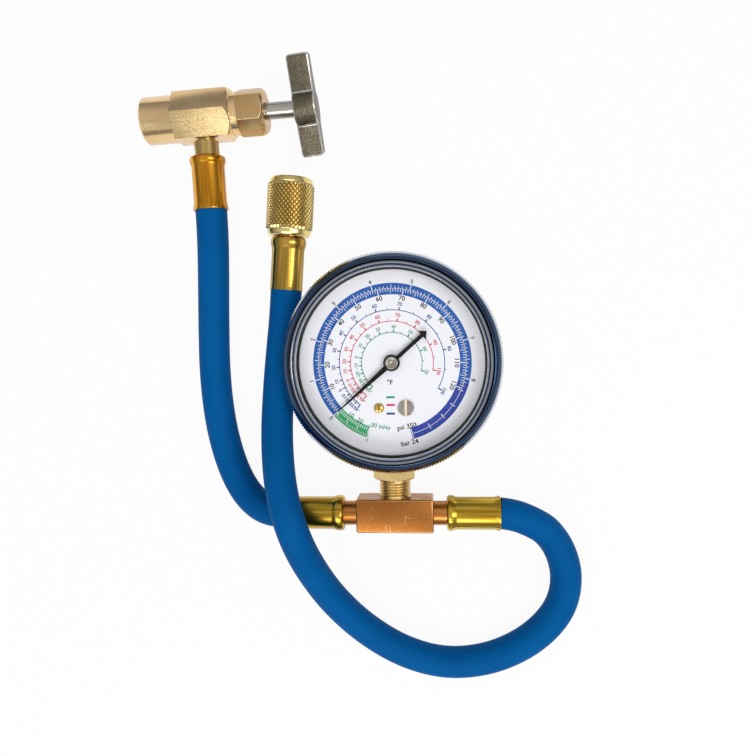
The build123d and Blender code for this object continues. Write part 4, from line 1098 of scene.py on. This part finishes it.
def turned_cap(profile):
    """A solid turned about the line that stands up from the middle of the dial."""
    mesh = bmesh.new()
    corners = [mesh.verts.new((radius, 0, height)) for radius, height in profile]
    edges = [mesh.edges.new((low, high)) for low, high in zip(corners, corners[1:])]
    bmesh.ops.spin(mesh, geom=corners + edges, cent=(0, 0, 0), axis=(0, 0, 1),
                   angle=2 * pi, steps=48, use_merge=True)
    bmesh.ops.remove_doubles(mesh, verts=mesh.verts, dist=1e-7)
    bmesh.ops.recalc_face_normals(mesh, faces=mesh.faces)
    return mesh


cap = turned_cap([
    (0, 0.0205), (0.00195, 0.0205), (0.0022, 0.0207), (0.00215, 0.0210), (0.0019, 0.0212),
    (0.0016, 0.0212), (0.0014, 0.02105), (0.0010, 0.02110), (0.0007, 0.02112),
    (0.0004, 0.02105), (0.00015, 0.0209), (0, 0.0209),
])
smooth_where_gentle(cap, 50)
cap_steel = surface("cap_steel", (0.34, 0.31, 0.26), (0.30, 0.27, 0.22),
                    roughness=0.30, change=0.02, bump=0.0)
finish_piece("turned_pointer_cap", cap, [cap_steel], "pointer_group", "chrome", "pointer_cap")

# Screws on the dial.
# A small domed brass screw holds the dial, and a larger steel one, with
# a wide slot that stands upright in the photograph, sets the pointer's zero.
# The brass screw's slot is coloured with painted shade, and the steel screw's slot with a painted
# highlight.


def slotted_screw(profile, x, y, slot_half, slot_floor):
    """A turned screw head at x, y on the dial, with a slot across it along Y."""
    mesh = turned_cap(profile)
    for side in (-slot_half, slot_half):
        bmesh.ops.bisect_plane(mesh, geom=mesh.verts[:] + mesh.edges[:] + mesh.faces[:],
                               plane_co=(side, 0, 0), plane_no=(1, 0, 0))
    mesh.normal_update()
    slot = [
        face for face in mesh.faces
        if abs(face.calc_center_median().x) < slot_half and face.calc_center_median().z > slot_floor
        and face.normal.z > 0.5
    ]
    sunk = bmesh.ops.extrude_face_region(mesh, geom=slot)
    bmesh.ops.delete(mesh, geom=[face for face in slot if face.is_valid], context="FACES_ONLY")
    # The sunk faces of the slot take the second material: painted shade in the brass screw, a painted
    # highlight in the steel one.
    for part in sunk["geom"]:
        if isinstance(part, bmesh.types.BMVert):
            part.co.z = slot_floor
        elif isinstance(part, bmesh.types.BMFace):
            part.material_index = 1
    bmesh.ops.recalc_face_normals(mesh, faces=mesh.faces)
    bmesh.ops.translate(mesh, verts=mesh.verts, vec=(x, y, 0))
    smooth_where_gentle(mesh, 35)
    return mesh


brass_head = slotted_screw([
    (0, 0.0185), (0.00155, 0.0185), (0.00165, 0.0187), (0.00150, 0.0190), (0.0011, 0.0192),
    (0.0006, 0.0193), (0, 0.01935),
], -0.0045, -0.0151, 0.00022, 0.01895)
screw_brass = surface("screw_brass", (0.78, 0.52, 0.14), (0.55, 0.34, 0.08),
                      roughness=0.22, bump=0.03)
# Painted shade in the brass screw's slot.
brass_slot_painted_shade = surface("brass_slot_painted_shade", (0.30, 0.17, 0.03), (0.20, 0.11, 0.02), roughness=0.4, bump=0.0)
finish_piece("brass_screw_head", brass_head, [screw_brass, brass_slot_painted_shade], "assembly", "bright_brass")
steel_head = slotted_screw([
    (0, 0.0185), (0.00255, 0.0185), (0.00265, 0.0187), (0.00265, 0.0192), (0.00250, 0.0194),
    (0.0015, 0.01945), (0, 0.01945),
], 0.0045, -0.0151, 0.00042, 0.01900)
screw_steel = surface("screw_steel", (0.46, 0.44, 0.40), (0.26, 0.23, 0.19),
                      roughness=0.26, stain=0.8, grain=2200, blotch=700, bump=0.10)
# A painted highlight in the steel screw's slot.
steel_slot_painted_highlight = surface("steel_slot_painted_highlight", (0.98, 0.86, 0.66), (0.90, 0.74, 0.52), roughness=0.5, bump=0.0)
finish_piece("slotted_screw_head", steel_head, [screw_steel, steel_slot_painted_highlight], "calibration", "steel",
             "calibration_screw")
dress(screw_brass, "dial_screw")
